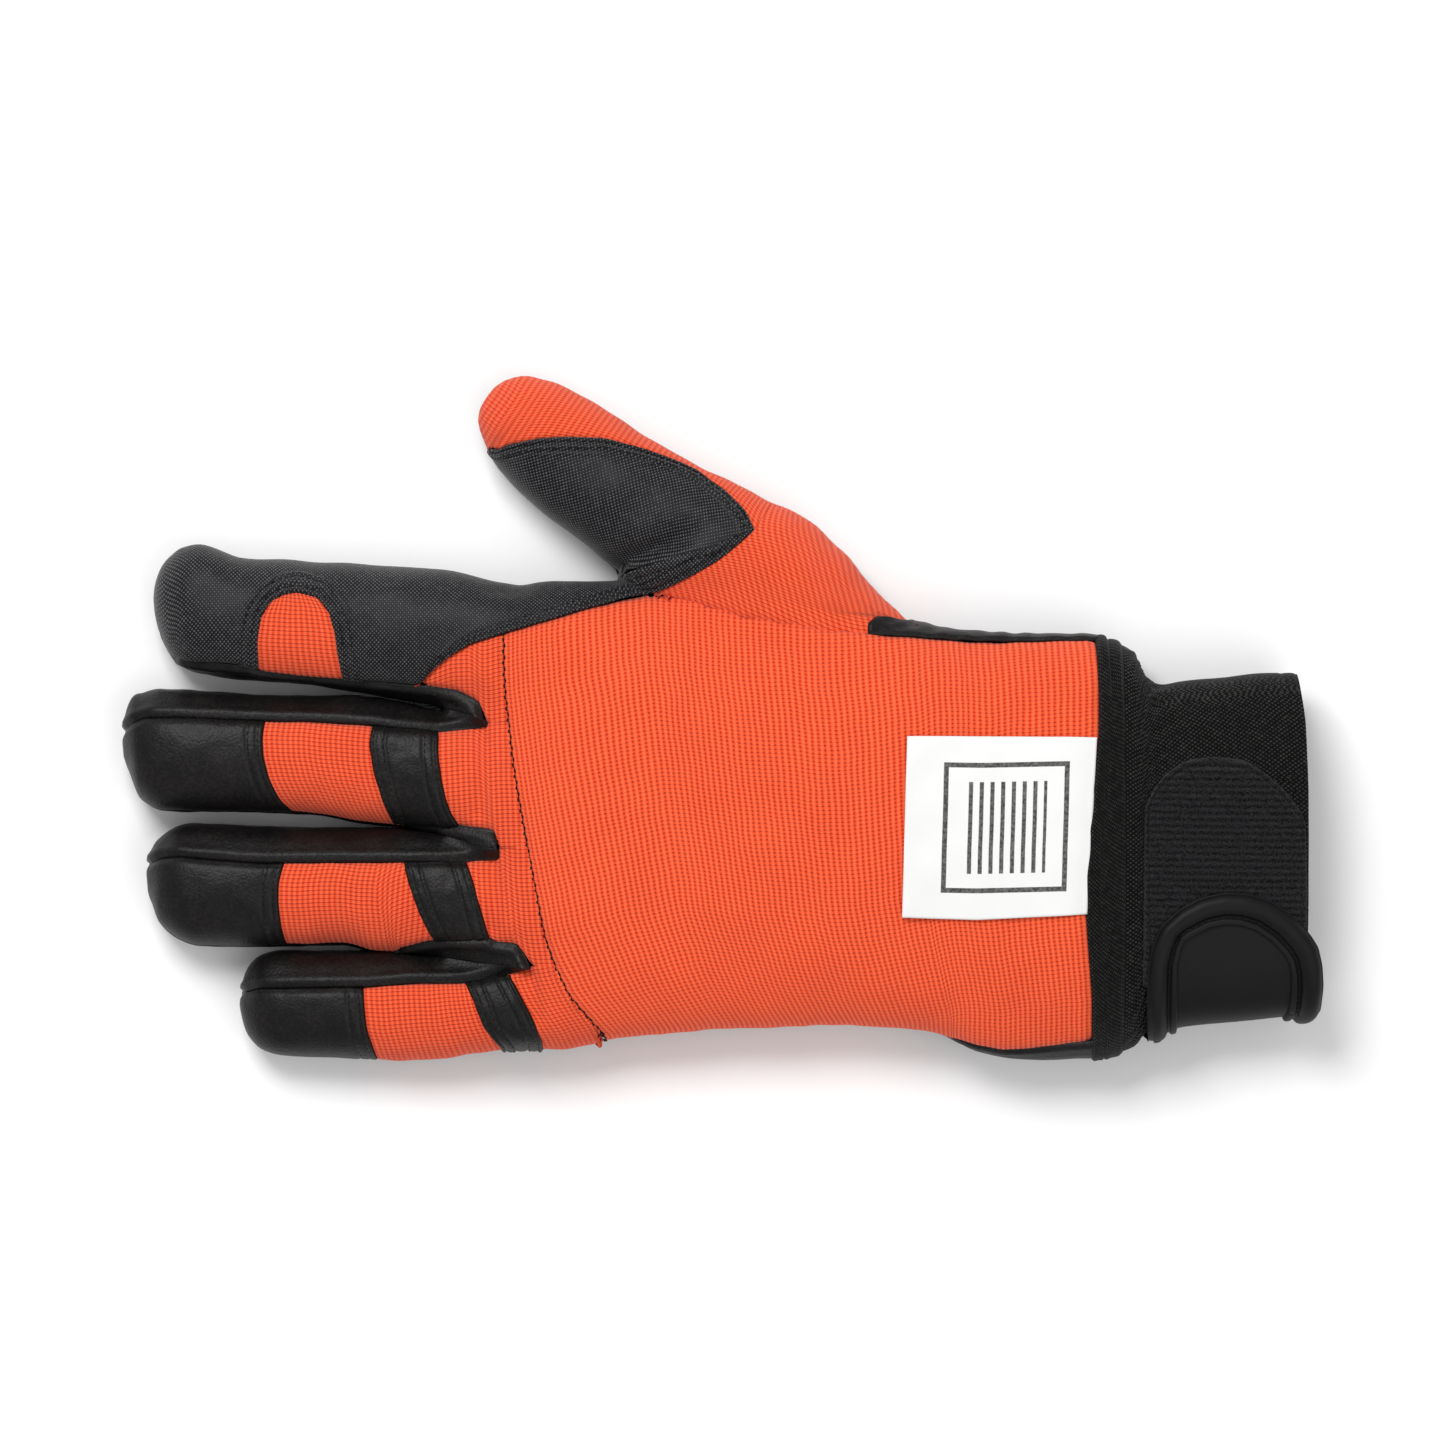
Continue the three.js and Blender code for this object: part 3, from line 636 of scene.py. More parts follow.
@dataclass
class Panel:
    """One cut piece of material on the glove: points on a grid, u along it and v across.

    Attributes:
        points: the grid's points, in mm.
        out: unit vectors out of the surface.
        ribs: for ribbed fabric, the rib's number at each point; its whole numbers are the furrows.
        chart: for cloth whose threads must run straight, the map to use in place of the edges' own.
    """

    points: Array
    ribs: Array | None = None
    chart: Array | None = None
    out: Array = field(init=False)

    def __post_init__(self) -> None:
        """Measures the panel as it was cut."""
        self.measure()

    def measure(self) -> None:
        """Works out normals as the cross product of the grid's two directions, and edge distances as
        running sums of the grid's steps."""
        p = self.points
        self.out = np.cross(np.gradient(p, axis=0), np.gradient(p, axis=1))
        size = np.linalg.norm(self.out, axis=-1, keepdims=True)
        self.out = self.out / np.maximum(size, 1e-9)
        zero_u, zero_v = np.zeros((1, p.shape[1])), np.zeros((p.shape[0], 1))
        self.start_u = np.concatenate([zero_u, np.cumsum(np.linalg.norm(np.diff(p, axis=0), axis=-1), 0)])
        self.start_v = np.concatenate([zero_v, np.cumsum(np.linalg.norm(np.diff(p, axis=1), axis=-1), 1)], 1)
        self.end_u = self.start_u[-1:] - self.start_u
        self.end_v = self.start_v[:, -1:] - self.start_v

    def uv(self) -> Array:
        """Gives the map for patterns.

        Returns:
            The chart, or mm along and across, or for ribs the rib's number and mm across.
        """
        if self.chart is not None:
            return self.chart
        across = self.start_v - self.start_v[:, -1:] / 2
        return np.stack([self.start_u if self.ribs is None else self.ribs, across], -1)

    def lift(self, height: Array | float) -> "Panel":
        """Moves the surface out, and measures it again.

        Args:
            height: mm for all points, or for each.

        Returns:
            The panel itself.
        """
        self.points = self.points + self.out * np.broadcast_to(height, self.points.shape[:2])[..., None]
        self.measure()
        return self

    def straighten(self, tube: Tube, edge: str) -> None:
        """Charts the cloth with its threads along and across a tube: along is the tube's own, and
        across is the arc length from one edge, added to that edge's plan place.

        Args:
            tube: the tube.
            edge: v0 or v1.
        """
        along, across = tube.local(self.points)
        if edge == "v0":
            self.chart = np.stack([along, across[:, :1] + self.start_v], -1)
        else:
            self.chart = np.stack([along, across[:, -1:] - self.end_v], -1)

    def uneven(self, length: float, seed: int) -> Array:
        """Gives unevenness over the panel as seen from above, as waves does."""
        return waves(self.points[..., 0], self.points[..., 1], length, seed)

    def line(self, edge: str, inset: float, samples: int = 160) -> tuple[Array, Array]:
        """Gives the line at a distance inside one edge.

        Args:
            edge: u0, u1, v0 or v1.
            inset: mm from that edge.
            samples: how many points.

        Returns:
            Its points and the directions out of the surface there.
        """
        along_u = edge in ("v0", "v1")
        away = {"u0": self.start_u, "u1": self.end_u, "v0": self.start_v, "v1": self.end_v}[edge]
        points, out = self.points, self.out
        if along_u:
            away, points, out = away.T, points.swapaxes(0, 1), out.swapaxes(0, 1)
        if edge in ("u1", "v1"):
            away, points, out = away[::-1], points[::-1], out[::-1]
        passed = (away <= inset).sum(0)
        k = np.clip(passed - 1, 0, len(away) - 2)
        c = np.arange(away.shape[1])
        step = away[k + 1, c] - away[k, c]
        t = np.clip((inset - away[k, c]) / np.maximum(step, 1e-9), 0, 1)[:, None]
        line = points[k, c] * (1 - t) + points[k + 1, c] * t
        even = spaced(np.concatenate([line, out[k, c]], 1), samples)
        return even[:, :3], _unit(even[:, 3:])


def _unit(vectors: Array) -> Array:
    """Gives the vectors at length 1."""
    return vectors / np.maximum(np.linalg.norm(vectors, axis=-1, keepdims=True), 1e-9)


def cut(
    skin: Skin,
    low: Array,
    high: Array,
    first: Array,
    last: Array,
    size: tuple[int, int],
    ribs: float = 0.0,
) -> Panel:
    """Cuts a panel out of the surface between four edges. Its places in along and q are a Coons patch:
    the mean of the edges' two rulings less that of the corners. An edge that has the right number of points
    already is taken as it is, and any other is spaced evenly.

    Args:
        skin: the surface.
        low: the edge with v at 0.
        high: the edge with v at 1.
        first: the edge with u at 0.
        last: the edge with u at 1.
        size: points along u and v.
        ribs: how many ribs it has along u.

    Returns:
        The panel.
    """
    count_u, count_v = size
    low, high = (e[:, None] if len(e) == count_u else spaced(e, count_u)[:, None] for e in (low, high))
    first, last = spaced(first, count_v)[None], spaced(last, count_v)[None]
    u = np.linspace(0, 1, count_u)[:, None, None]
    v = np.linspace(0, 1, count_v)[None, :, None]
    corners = (
        (1 - u) * (1 - v) * (low[:1] + first[:, :1]) / 2
        + u * (1 - v) * (low[-1:] + last[:, :1]) / 2
        + (1 - u) * v * (high[:1] + first[:, -1:]) / 2
        + u * v * (high[-1:] + last[:, -1:]) / 2
    )
    places = (1 - v) * low + v * high + (1 - u) * first + u * last - corners
    number = np.broadcast_to(ribs * u[..., 0], places.shape[:2]) if ribs else None
    return Panel(skin.read(places[..., 0], places[..., 1]), number)


def between(
    skin: Skin,
    low: Array,
    high: Array,
    size: tuple[int, int],
    first: Array | None = None,
    last: Array | None = None,
    ribs: float = 0.0,
) -> Panel:
    """Cuts a panel between two edges that run along it.

    Args:
        skin, low, high, size, ribs: as for cut.
        first: the edge with u at 0, or None for a straight line.
        last: the edge with u at 1, or None.

    Returns:
        The panel.
    """
    first = np.stack([low[0], high[0]]) if first is None else first
    last = np.stack([low[-1], high[-1]]) if last is None else last
    return cut(skin, low, high, first, last, size, ribs)


def bell(away: Array, width: float) -> Array:
    """Gives a bell curve: the exponential of minus the square of away over width."""
    return np.exp(-((away / width) ** 2))


def valley(away: Array, depth: float, width: float) -> Array:
    """Gives the dip beside a seam: a bell curve of the distance from it, upside down."""
    return -depth * bell(away, width)


def ridge(panel: Panel, height: float) -> Array:
    """Gives the ribs' relief: rounded backs with narrow furrows between them, as one less the sixth
    power of a cosine."""
    return height * (1 - np.cos(math.pi * panel.ribs) ** 6)


def before(points: Array, place_px: float, width: float = 0.5) -> Array:
    """Gives 1 where points lie before a place along, in px, and 0 past it, over a width in mm."""
    offset = points[..., 0] - along_at(place_px)
    return 1 / (1 + np.exp(np.clip(offset / width, -40, 40)))


def step(value: Array, low: float, high: float) -> Array:
    """Gives 0 below low, 1 above high and a smooth step between."""
    t = np.clip((value - low) / (high - low), 0, 1)
    return t * t * (3 - 2 * t)


def knuckle_ribs(panel: Panel, first: float, last: float) -> None:
    """Numbers a finger's ribs. Near its cap they follow the cap's edge, and past the last place they run
    across the hand, where the fabric of all the fingers is one piece.

    Args:
        panel: the finger's fabric.
        first: px along where the change starts.
        last: px along where it ends.
    """
    x, y = in_px(panel.points)
    rows = np.array([[600, 0], [634, 0], [860, 6], [964, 16], [1000, 30], [1036, 52], [1060, 62]], float)
    rib = 1.2
    across = (505 + fair(rows[:, 0], rows[:, 1], y) - x) * PX / rib
    along = across[0].mean() - panel.start_u / rib
    share = step(x, first, last)
    panel.ribs = along * (1 - share) + across * share


def thumb_ribs(panel: Panel) -> None:
    """Numbers the thumb's ribs: they cross the thumb at its tip and turn until they run down the mound.
    Both ways of numbering count mm from the crotch's end, each 1.3 mm being a rib.

    Args:
        panel: the thumb's fabric.
    """
    x, y = in_px(panel.points)
    right, below, rib = x - 765, y - 545, 1.3
    crossing = (right * 0.8387 + below * 0.5446) * PX / rib
    down = (right * 0.970 - below * 0.2425) * PX / rib
    share = step(y + 0.35 * (x - 700), 480, 575)
    panel.ribs = 60 + crossing * (1 - share) + down * share


# Finishes


def linear(red: float, green: float, blue: float) -> tuple[float, float, float, float]:
    """Turns an sRGB colour into a linear one.

    Args:
        red: its red, from 0 to 255.
        green: its green.
        blue: its blue.

    Returns:
        Red, green, blue and alpha, from 0 to 1.
    """
    parts = [c / 255 for c in (red, green, blue)]
    parts = [c / 12.92 if c <= 0.04045 else ((c + 0.055) / 1.055) ** 2.4 for c in parts]
    return (*parts, 1.0)


class Graph:
    """A material's node graph, with short ways to add the nodes that the finishes use."""

    def __init__(self, name: str) -> None:
        """Starts a material with a plain shader.

        Args:
            name: the material's name.
        """
        self.material = bpy.data.materials.new(name)
        self.material.use_nodes = True
        self.tree = self.material.node_tree
        self.shader = self.tree.nodes["Principled BSDF"]

    def add(self, kind: str, **settings: object) -> bpy.types.Node:
        """Adds a node.

        Args:
            kind: Blender's name for it.
            settings: properties to set on it.

        Returns:
            The node.
        """
        node = self.tree.nodes.new(kind)
        for key, value in settings.items():
            setattr(node, key, value)
        return node

    def feed(self, socket: Socket, value: object) -> None:
        """Links or sets one input.

        Args:
            socket: the input.
            value: a socket to link, or a value to set.
        """
        if isinstance(value, Socket):
            self.tree.links.new(value, socket)
        else:
            socket.default_value = value

    def sum(self, operation: str, *values: object) -> Socket:
        """Adds a Math node.

        Args:
            operation: what it does.
            values: its inputs in order, sockets or numbers.

        Returns:
            Its result.
        """
        node = self.add("ShaderNodeMath", operation=operation)
        for socket, value in zip(node.inputs, values):
            self.feed(socket, value)
        return node.outputs[0]

    def fade(self, value: object, low: float, high: float) -> Socket:
        """Adds a smooth step.

        Args:
            value: what it reads.
            low: where the result is 0.
            high: where it is 1.

        Returns:
            The result.
        """
        node = self.add("ShaderNodeMapRange", interpolation_type="SMOOTHSTEP")
        self.feed(node.inputs["Value"], value)
        node.inputs["From Min"].default_value = low
        node.inputs["From Max"].default_value = high
        return node.outputs["Result"]

    def mix(self, share: object, first: object, second: object) -> Socket:
        """Mixes two colours.

        Args:
            share: how much of the second.
            first: the first colour.
            second: the second.

        Returns:
            The mixed colour.
        """
        node = self.add("ShaderNodeMix", data_type="RGBA")
        self.feed(node.inputs[0], share)
        self.feed(node.inputs[6], first)
        self.feed(node.inputs[7], second)
        return node.outputs[2]

    def uv(self) -> tuple[Socket, Socket]:
        """Reads the piece's own map.

        Returns:
            Along and across.
        """
        node = self.add("ShaderNodeSeparateXYZ")
        self.feed(node.inputs[0], self.add("ShaderNodeTexCoord").outputs["UV"])
        return node.outputs[0], node.outputs[1]

    def noise(self, scale: float, detail: float = 3.0, rough: float = 0.55) -> Socket:
        """Gives noise on the object's coordinates.

        Args:
            scale: waves for each metre.
            detail: how many finer layers it has.
            rough: how strong they are.

        Returns:
            The noise, from 0 to 1.
        """
        node = self.add("ShaderNodeTexNoise")
        self.feed(node.inputs["Vector"], self.add("ShaderNodeTexCoord").outputs["Object"])
        node.inputs["Scale"].default_value = scale
        node.inputs["Detail"].default_value = detail
        node.inputs["Roughness"].default_value = rough
        return node.outputs["Fac"]

    def wave(self, value: object, pitch: float) -> Socket:
        """Gives the cosine of a value, with one turn for each pitch."""
        return self.sum("COSINE", self.sum("MULTIPLY", value, 2 * math.pi / pitch))

    def bump(self, height: Socket, distance: float, strength: float = 1.0) -> None:
        """Adds relief to the shader.

        Args:
            height: the relief.
            distance: metres for a height of 1.
            strength: how much of it shows.
        """
        node = self.add("ShaderNodeBump")
        node.inputs["Strength"].default_value = strength
        node.inputs["Distance"].default_value = distance
        self.feed(node.inputs["Height"], height)
        self.feed(self.shader.inputs["Normal"], node.outputs[0])

    def surface(self, colour: object, rough: object, specular: float, sheen: float = 0.0) -> None:
        """Sets the shader's colour and gloss.

        Args:
            colour: a socket or a linear colour.
            rough: a socket or a number.
            specular: the strength of reflections.
            sheen: the strength of the cloth's soft edge light.
        """
        self.feed(self.shader.inputs["Base Color"], colour)
        self.feed(self.shader.inputs["Roughness"], rough)
        self.shader.inputs["Specular IOR Level"].default_value = specular
        self.shader.inputs["Sheen Weight"].default_value = sheen
        self.shader.inputs["Sheen Roughness"].default_value = 0.5


@dataclass(frozen=True)
class Finish:
    """A finish of the glove's pieces."""

    def make(self, name: str) -> Material:
        """Builds the material.

        Args:
            name: the material's name.

        Returns:
            The material.
        """
        g = Graph(name)
        self.dress(g)
        return g.material

    def dress(self, g: Graph) -> None:
        """Adds the finish's nodes to a graph, as each kind of finish does for itself."""
        raise NotImplementedError


@dataclass(frozen=True)
class RibbedFabric(Finish):
    """Stretch fabric with ribs: a painted highlight along each rib's middle, and painted shade in the
    furrows, broken into short dashes, and in the lines across the ribs.

    Attributes:
        light: painted highlight colour on the middle of a rib.
        back: the fabric's own colour on a rib's sides, where the painted highlight has faded out.
        groove_shade: painted shade colour in the furrows and in the lines across the ribs.
        dash: mm from one dash to the next.
        lines: how dark the painted shade in the lines across the ribs is.
        shift: how far they're set off from one rib to the next, in dashes.
        wander: how far ribs and lines stray from their places.
    """

    light: Colour = (242, 105, 66)
    back: Colour = (232, 77, 39)
    groove_shade: Colour = (172, 30, 20)
    dash: float = 0.9
    lines: float = 0.3
    shift: float = 0.0
    wander: float = 1.0

    def dress(self, g: Graph) -> None:
        """Adds its nodes.

        Args:
            g: the material's graph.
        """
        number, across = g.uv()
        stray = self.wander
        number = g.sum("ADD", number, g.sum("MULTIPLY_ADD", g.noise(150, 3), 0.5 * stray, -0.25 * stray))
        across = g.sum("ADD", across, g.sum("MULTIPLY_ADD", g.noise(110, 3), 1.4 * stray, -0.7 * stray))
        across = g.sum("ADD", across, g.sum("MULTIPLY", g.sum("FLOOR", number), self.shift * self.dash))
        # Painted shade: the furrows, in dashes, and the lines across the ribs, which the bump sinks, take the
        # dark shade colour.
        hollow = g.sum("ABSOLUTE", g.sum("COSINE", g.sum("MULTIPLY", number, math.pi)))
        groove_shade = g.fade(hollow, 0.84, 0.99)
        dash = g.fade(g.wave(across, self.dash), 0.05, 0.95)
        dark = g.sum("MULTIPLY", groove_shade, g.sum("MULTIPLY_ADD", dash, 0.72, 0.16))
        fine = g.sum("MULTIPLY", g.fade(g.wave(across, self.dash / 2), 0.3, 1.0), self.lines * 0.35)
        line = g.sum("MULTIPLY", g.fade(g.wave(across, self.dash), 0.5, 0.97), self.lines)
        cross = g.sum("MAXIMUM", line, fine)
        patch = g.sum("MULTIPLY_ADD", g.noise(70, 4), 0.3, -0.15)
        share = g.sum("MAXIMUM", g.sum("ADD", g.sum("MAXIMUM", dark, cross), patch), 0.0)
        # Painted highlight: each rib's middle is lighter, fading into the fabric's own colour towards the
        # furrows.
        side = g.mix(g.fade(hollow, 0.25, 0.95), linear(*self.light), linear(*self.back))
        g.surface(g.mix(share, side, linear(*self.groove_shade)), 0.85, 0.12, 0.12)
        height = g.sum("SUBTRACT", g.sum("MULTIPLY", g.noise(2600, 2), 0.2), g.sum("MAXIMUM", dark, cross))
        g.bump(height, 0.00022, 0.9)


@dataclass(frozen=True)
class Weave(Finish):
    """Woven cloth: staggered yarn knots, with a painted highlight on their raised backs and painted shade in
    the gaps between them.

    Attributes:
        back: painted highlight colour on a knot's back.
        gap_shade: painted shade colour in the gaps.
        pitch: mm from knot to knot, along and across.
        depth: metres of relief.
        rough: the shader's roughness.
        specular: the strength of its reflections.
        uneven: how much the knots vary.
    """

    back: Colour
    gap_shade: Colour
    pitch: tuple[float, float] = (1.05, 0.95)
    depth: float = 0.00016
    rough: float = 0.6
    specular: float = 0.14
    uneven: float = 0.25

    def dress(self, g: Graph) -> None:
        """Adds its nodes.

        Args:
            g: the material's graph.
        """
        along, across = g.uv()
        knots = g.sum("MULTIPLY", g.wave(along, self.pitch[0]), g.wave(across, self.pitch[1]))
        uneven = g.sum("MULTIPLY", g.sum("SUBTRACT", g.noise(900, 2), 0.5), self.uneven * 4)
        height = g.fade(g.sum("ADD", knots, uneven), 0.0, 1.0)
        patch = g.sum("MULTIPLY_ADD", g.noise(45, 4), 0.7, 0.62)
        light = g.sum("MULTIPLY", height, patch)
        # Painted light: the knots' raised backs take the highlight colour, and the gaps between them take the
        # shade colour.
        g.surface(g.mix(light, linear(*self.gap_shade), linear(*self.back)), self.rough, self.specular, 0.1)
        g.bump(height, self.depth, 0.9)


@dataclass(frozen=True)
class Leather(Finish):
    """Fine-grained leather: small raised cells, with grain of them for each metre, and lighter in small
    random patches."""

    colour: Colour = (12, 11, 11)
    mottle: Colour = (30, 27, 26)
    grain: float = 1700.0
    rough: float = 0.45

    def dress(self, g: Graph) -> None:
        """Adds its nodes.

        Args:
            g: the material's graph.
        """
        cells = g.add("ShaderNodeTexVoronoi", feature="F1")
        g.feed(cells.inputs["Vector"], g.add("ShaderNodeTexCoord").outputs["Object"])
        cells.inputs["Scale"].default_value = self.grain
        creases = g.noise(700, 5, 0.65)
        raised = g.sum("MULTIPLY", cells.outputs["Distance"], -0.7)
        height = g.sum("ADD", raised, g.sum("MULTIPLY", creases, 0.8))
        fine = g.sum("MULTIPLY_ADD", g.noise(1400, 3, 0.6), 1.4, -0.2)
        # Lighter in small random patches, from noise alone.
        mottling = g.fade(g.sum("MULTIPLY", g.noise(130, 5, 0.65), fine), 0.12, 0.5)
        g.surface(
            g.mix(mottling, linear(*self.colour), linear(*self.mottle)),
            g.sum("MULTIPLY_ADD", creases, 0.2, self.rough - 0.1),
            0.2,
        )
        g.bump(height, 0.00015, 0.6)


@dataclass(frozen=True)
class LoopPile(Finish):
    """Fuzzy loop pile in rows, with bright ends of thread here and there: a painted highlight on the raised
    pile, and painted shade in the hollows between.
    """

    # The first colour is a painted highlight on the raised pile, and the second is a painted shade in its
    # hollows.
    back: Colour = (47, 45, 49)
    gap_shade: Colour = (3, 3, 4)

    def dress(self, g: Graph) -> None:
        """Adds its nodes.

        Args:
            g: the material's graph.
        """
        _, across = g.uv()
        row = g.wave(across, 1.5)
        fuzz = g.sum("SUBTRACT", g.noise(2300, 3, 0.7), 0.5)
        height = g.fade(g.sum("ADD", g.sum("MULTIPLY", row, 0.35), g.sum("MULTIPLY", fuzz, 5.0)), -0.8, 1.6)
        # Painted light: the colour runs from the shade colour in the hollows to the highlight colour on the
        # raised pile.
        g.surface(g.mix(height, linear(*self.gap_shade), linear(*self.back)), 0.9, 0.08, 0.1)
        g.bump(height, 0.0004, 1.0)


@dataclass(frozen=True)
class Rubber(Finish):
    """Matte moulded rubber, smooth with a faint bloom."""

    colour: Colour = (11, 10, 12)
    bloom: Colour = (17, 16, 18)
    rough: float = 0.5

    def dress(self, g: Graph) -> None:
        """Adds its nodes.

        Args:
            g: the material's graph.
        """
        cloud = g.noise(60, 4)
        g.surface(
            g.mix(g.fade(cloud, 0.35, 0.7), linear(*self.colour), linear(*self.bloom)),
            g.sum("MULTIPLY_ADD", cloud, 0.15, self.rough - 0.07),
            0.16,
        )
        g.bump(g.noise(3000, 2), 0.00004, 0.5)


@dataclass(frozen=True)
class Satin(Finish):
    """White woven label with a plain printed frame and seven bars. Its map runs in mm.

    Attributes:
        cloth: colour of the cloth.
        ink: colour of the print.
        middle: mm along to the middle of the print.
        frame: mm from there to the frame's line, along and across.
        bars: mm from there to the ends of the bars' field.
        pitch: mm from one bar to the next.
    """

    cloth: Colour = (232, 232, 231)
    ink: Colour = (44, 42, 38)
    middle: float = 22.5
    frame: tuple[float, float] = (13.5, 14.0)
    bars: tuple[float, float] = (9.1, 10.2)
    pitch: float = 2.4

    def dress(self, g: Graph) -> None:
        """Adds its nodes: ink where a place lies in the frame's line or in a bar.

        Args:
            g: the material's graph.
        """
        along, across = g.uv()
        side = g.sum("ABSOLUTE", g.sum("SUBTRACT", along, self.middle))
        up = g.sum("ABSOLUTE", across)
        beside, above = g.sum("SUBTRACT", side, self.frame[0]), g.sum("SUBTRACT", up, self.frame[1])
        edge = g.sum("MAXIMUM", beside, above)
        frame_line = g.fade(g.sum("ABSOLUTE", edge), 0.62, 0.5)
        folded = g.sum("PINGPONG", g.sum("ADD", along, 1.0), self.pitch)
        bar = g.sum("ABSOLUTE", g.sum("SUBTRACT", folded, self.pitch / 2))
        line = g.fade(bar, 0.55, 0.4)
        beside, above = (g.fade(v, end + 0.1, end) for v, end in zip((side, up), self.bars))
        inside = g.sum("MULTIPLY", beside, above)
        ink = g.sum("MAXIMUM", frame_line, g.sum("MULTIPLY", line, inside))
        ink = g.sum("MULTIPLY", ink, g.sum("MULTIPLY_ADD", g.noise(1500, 3), 0.5, 0.68))
        g.surface(g.mix(ink, linear(*self.cloth), linear(*self.ink)), 0.55, 0.35, 0.2)
        weft = g.sum("MULTIPLY", g.wave(along, 0.32), g.wave(across, 0.32))
        g.bump(weft, 0.00003, 0.6)


@dataclass(frozen=True)
class Thread(Finish):
    """Twisted sewing thread."""

    colour: Colour = (3, 3, 3)

    def dress(self, g: Graph) -> None:
        """Adds its nodes.

        Args:
            g: the material's graph.
        """
        twist = g.noise(3000, 2)
        g.surface(g.mix(twist, linear(*self.colour), linear(*(c + 12 for c in self.colour))), 0.5, 0.15, 0.03)
        g.bump(twist, 0.00005, 0.6)


# Making objects


def grid_faces(rows: int, columns: int, offset: int) -> Array:
    """Gives the four-sided faces of a grid whose points are numbered row by row.

    Args:
        rows: points along u.
        columns: points along v.
        offset: the first point's number.

    Returns:
        Rows of four point numbers that turn round the outward direction.
    """
    i, j = np.meshgrid(np.arange(rows - 1), np.arange(columns - 1), indexing="ij")
    a = offset + i * columns + j
    return np.stack([a, a + columns, a + columns + 1, a + 1], -1).reshape(-1, 4)


def put(
    name: str,
    panels: Sequence[Panel],
    material: Material,
    nodes: Sequence[str] = (),
    wall: float = 0.0,
    lined: bool = False,
) -> bpy.types.Object:
    """Makes one object of panels, in metres, kept above the floor.

    Args:
        name: the object's name.
        panels: its panels.
        material: its finish.
        nodes: the solids that it stands for.
        wall: mm of thickness that its edges show, inwards, or 0 for a piece that has its own.
        lined: whether it has an inner face too, as it needs where one can look inside.

    Returns:
        The object.
    """
    points, faces, maps, count = [], [], [], 0
    for panel in panels:
        rows, columns = panel.points.shape[:2]
        points.append(panel.points.reshape(-1, 3))
        maps.append(panel.uv().reshape(-1, 2))
        faces.append(grid_faces(rows, columns, count))
        count += rows * columns
    where, quads, uv = np.concatenate(points) * METRE, np.concatenate(faces), np.concatenate(maps)
    where[:, 2] = np.maximum(where[:, 2], FLOOR_GAP)
    mesh = bpy.data.meshes.new(name)
    mesh.from_pydata(where, [], quads.tolist())
    layer = mesh.uv_layers.new(name="UVMap")
    layer.data.foreach_set("uv", uv[quads.reshape(-1)].astype(np.float32).reshape(-1))
    mesh.polygons.foreach_set("use_smooth", np.ones(len(quads), bool))
    mesh.materials.append(material)
    mesh.validate()
    thing = bpy.data.objects.new(name, mesh)
    bpy.context.scene.collection.objects.link(thing)
    if wall:
        shell = thing.modifiers.new("wall", "SOLIDIFY")
        shell.thickness = wall * METRE
        shell.offset = -1.0
        shell.use_rim = True
        shell.use_rim_only = not lined
    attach(thing, "root")
    if nodes:
        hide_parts(*nodes)
    LOG.info("%s: %d panels, %d faces", name, len(panels), len(quads))
    return thing


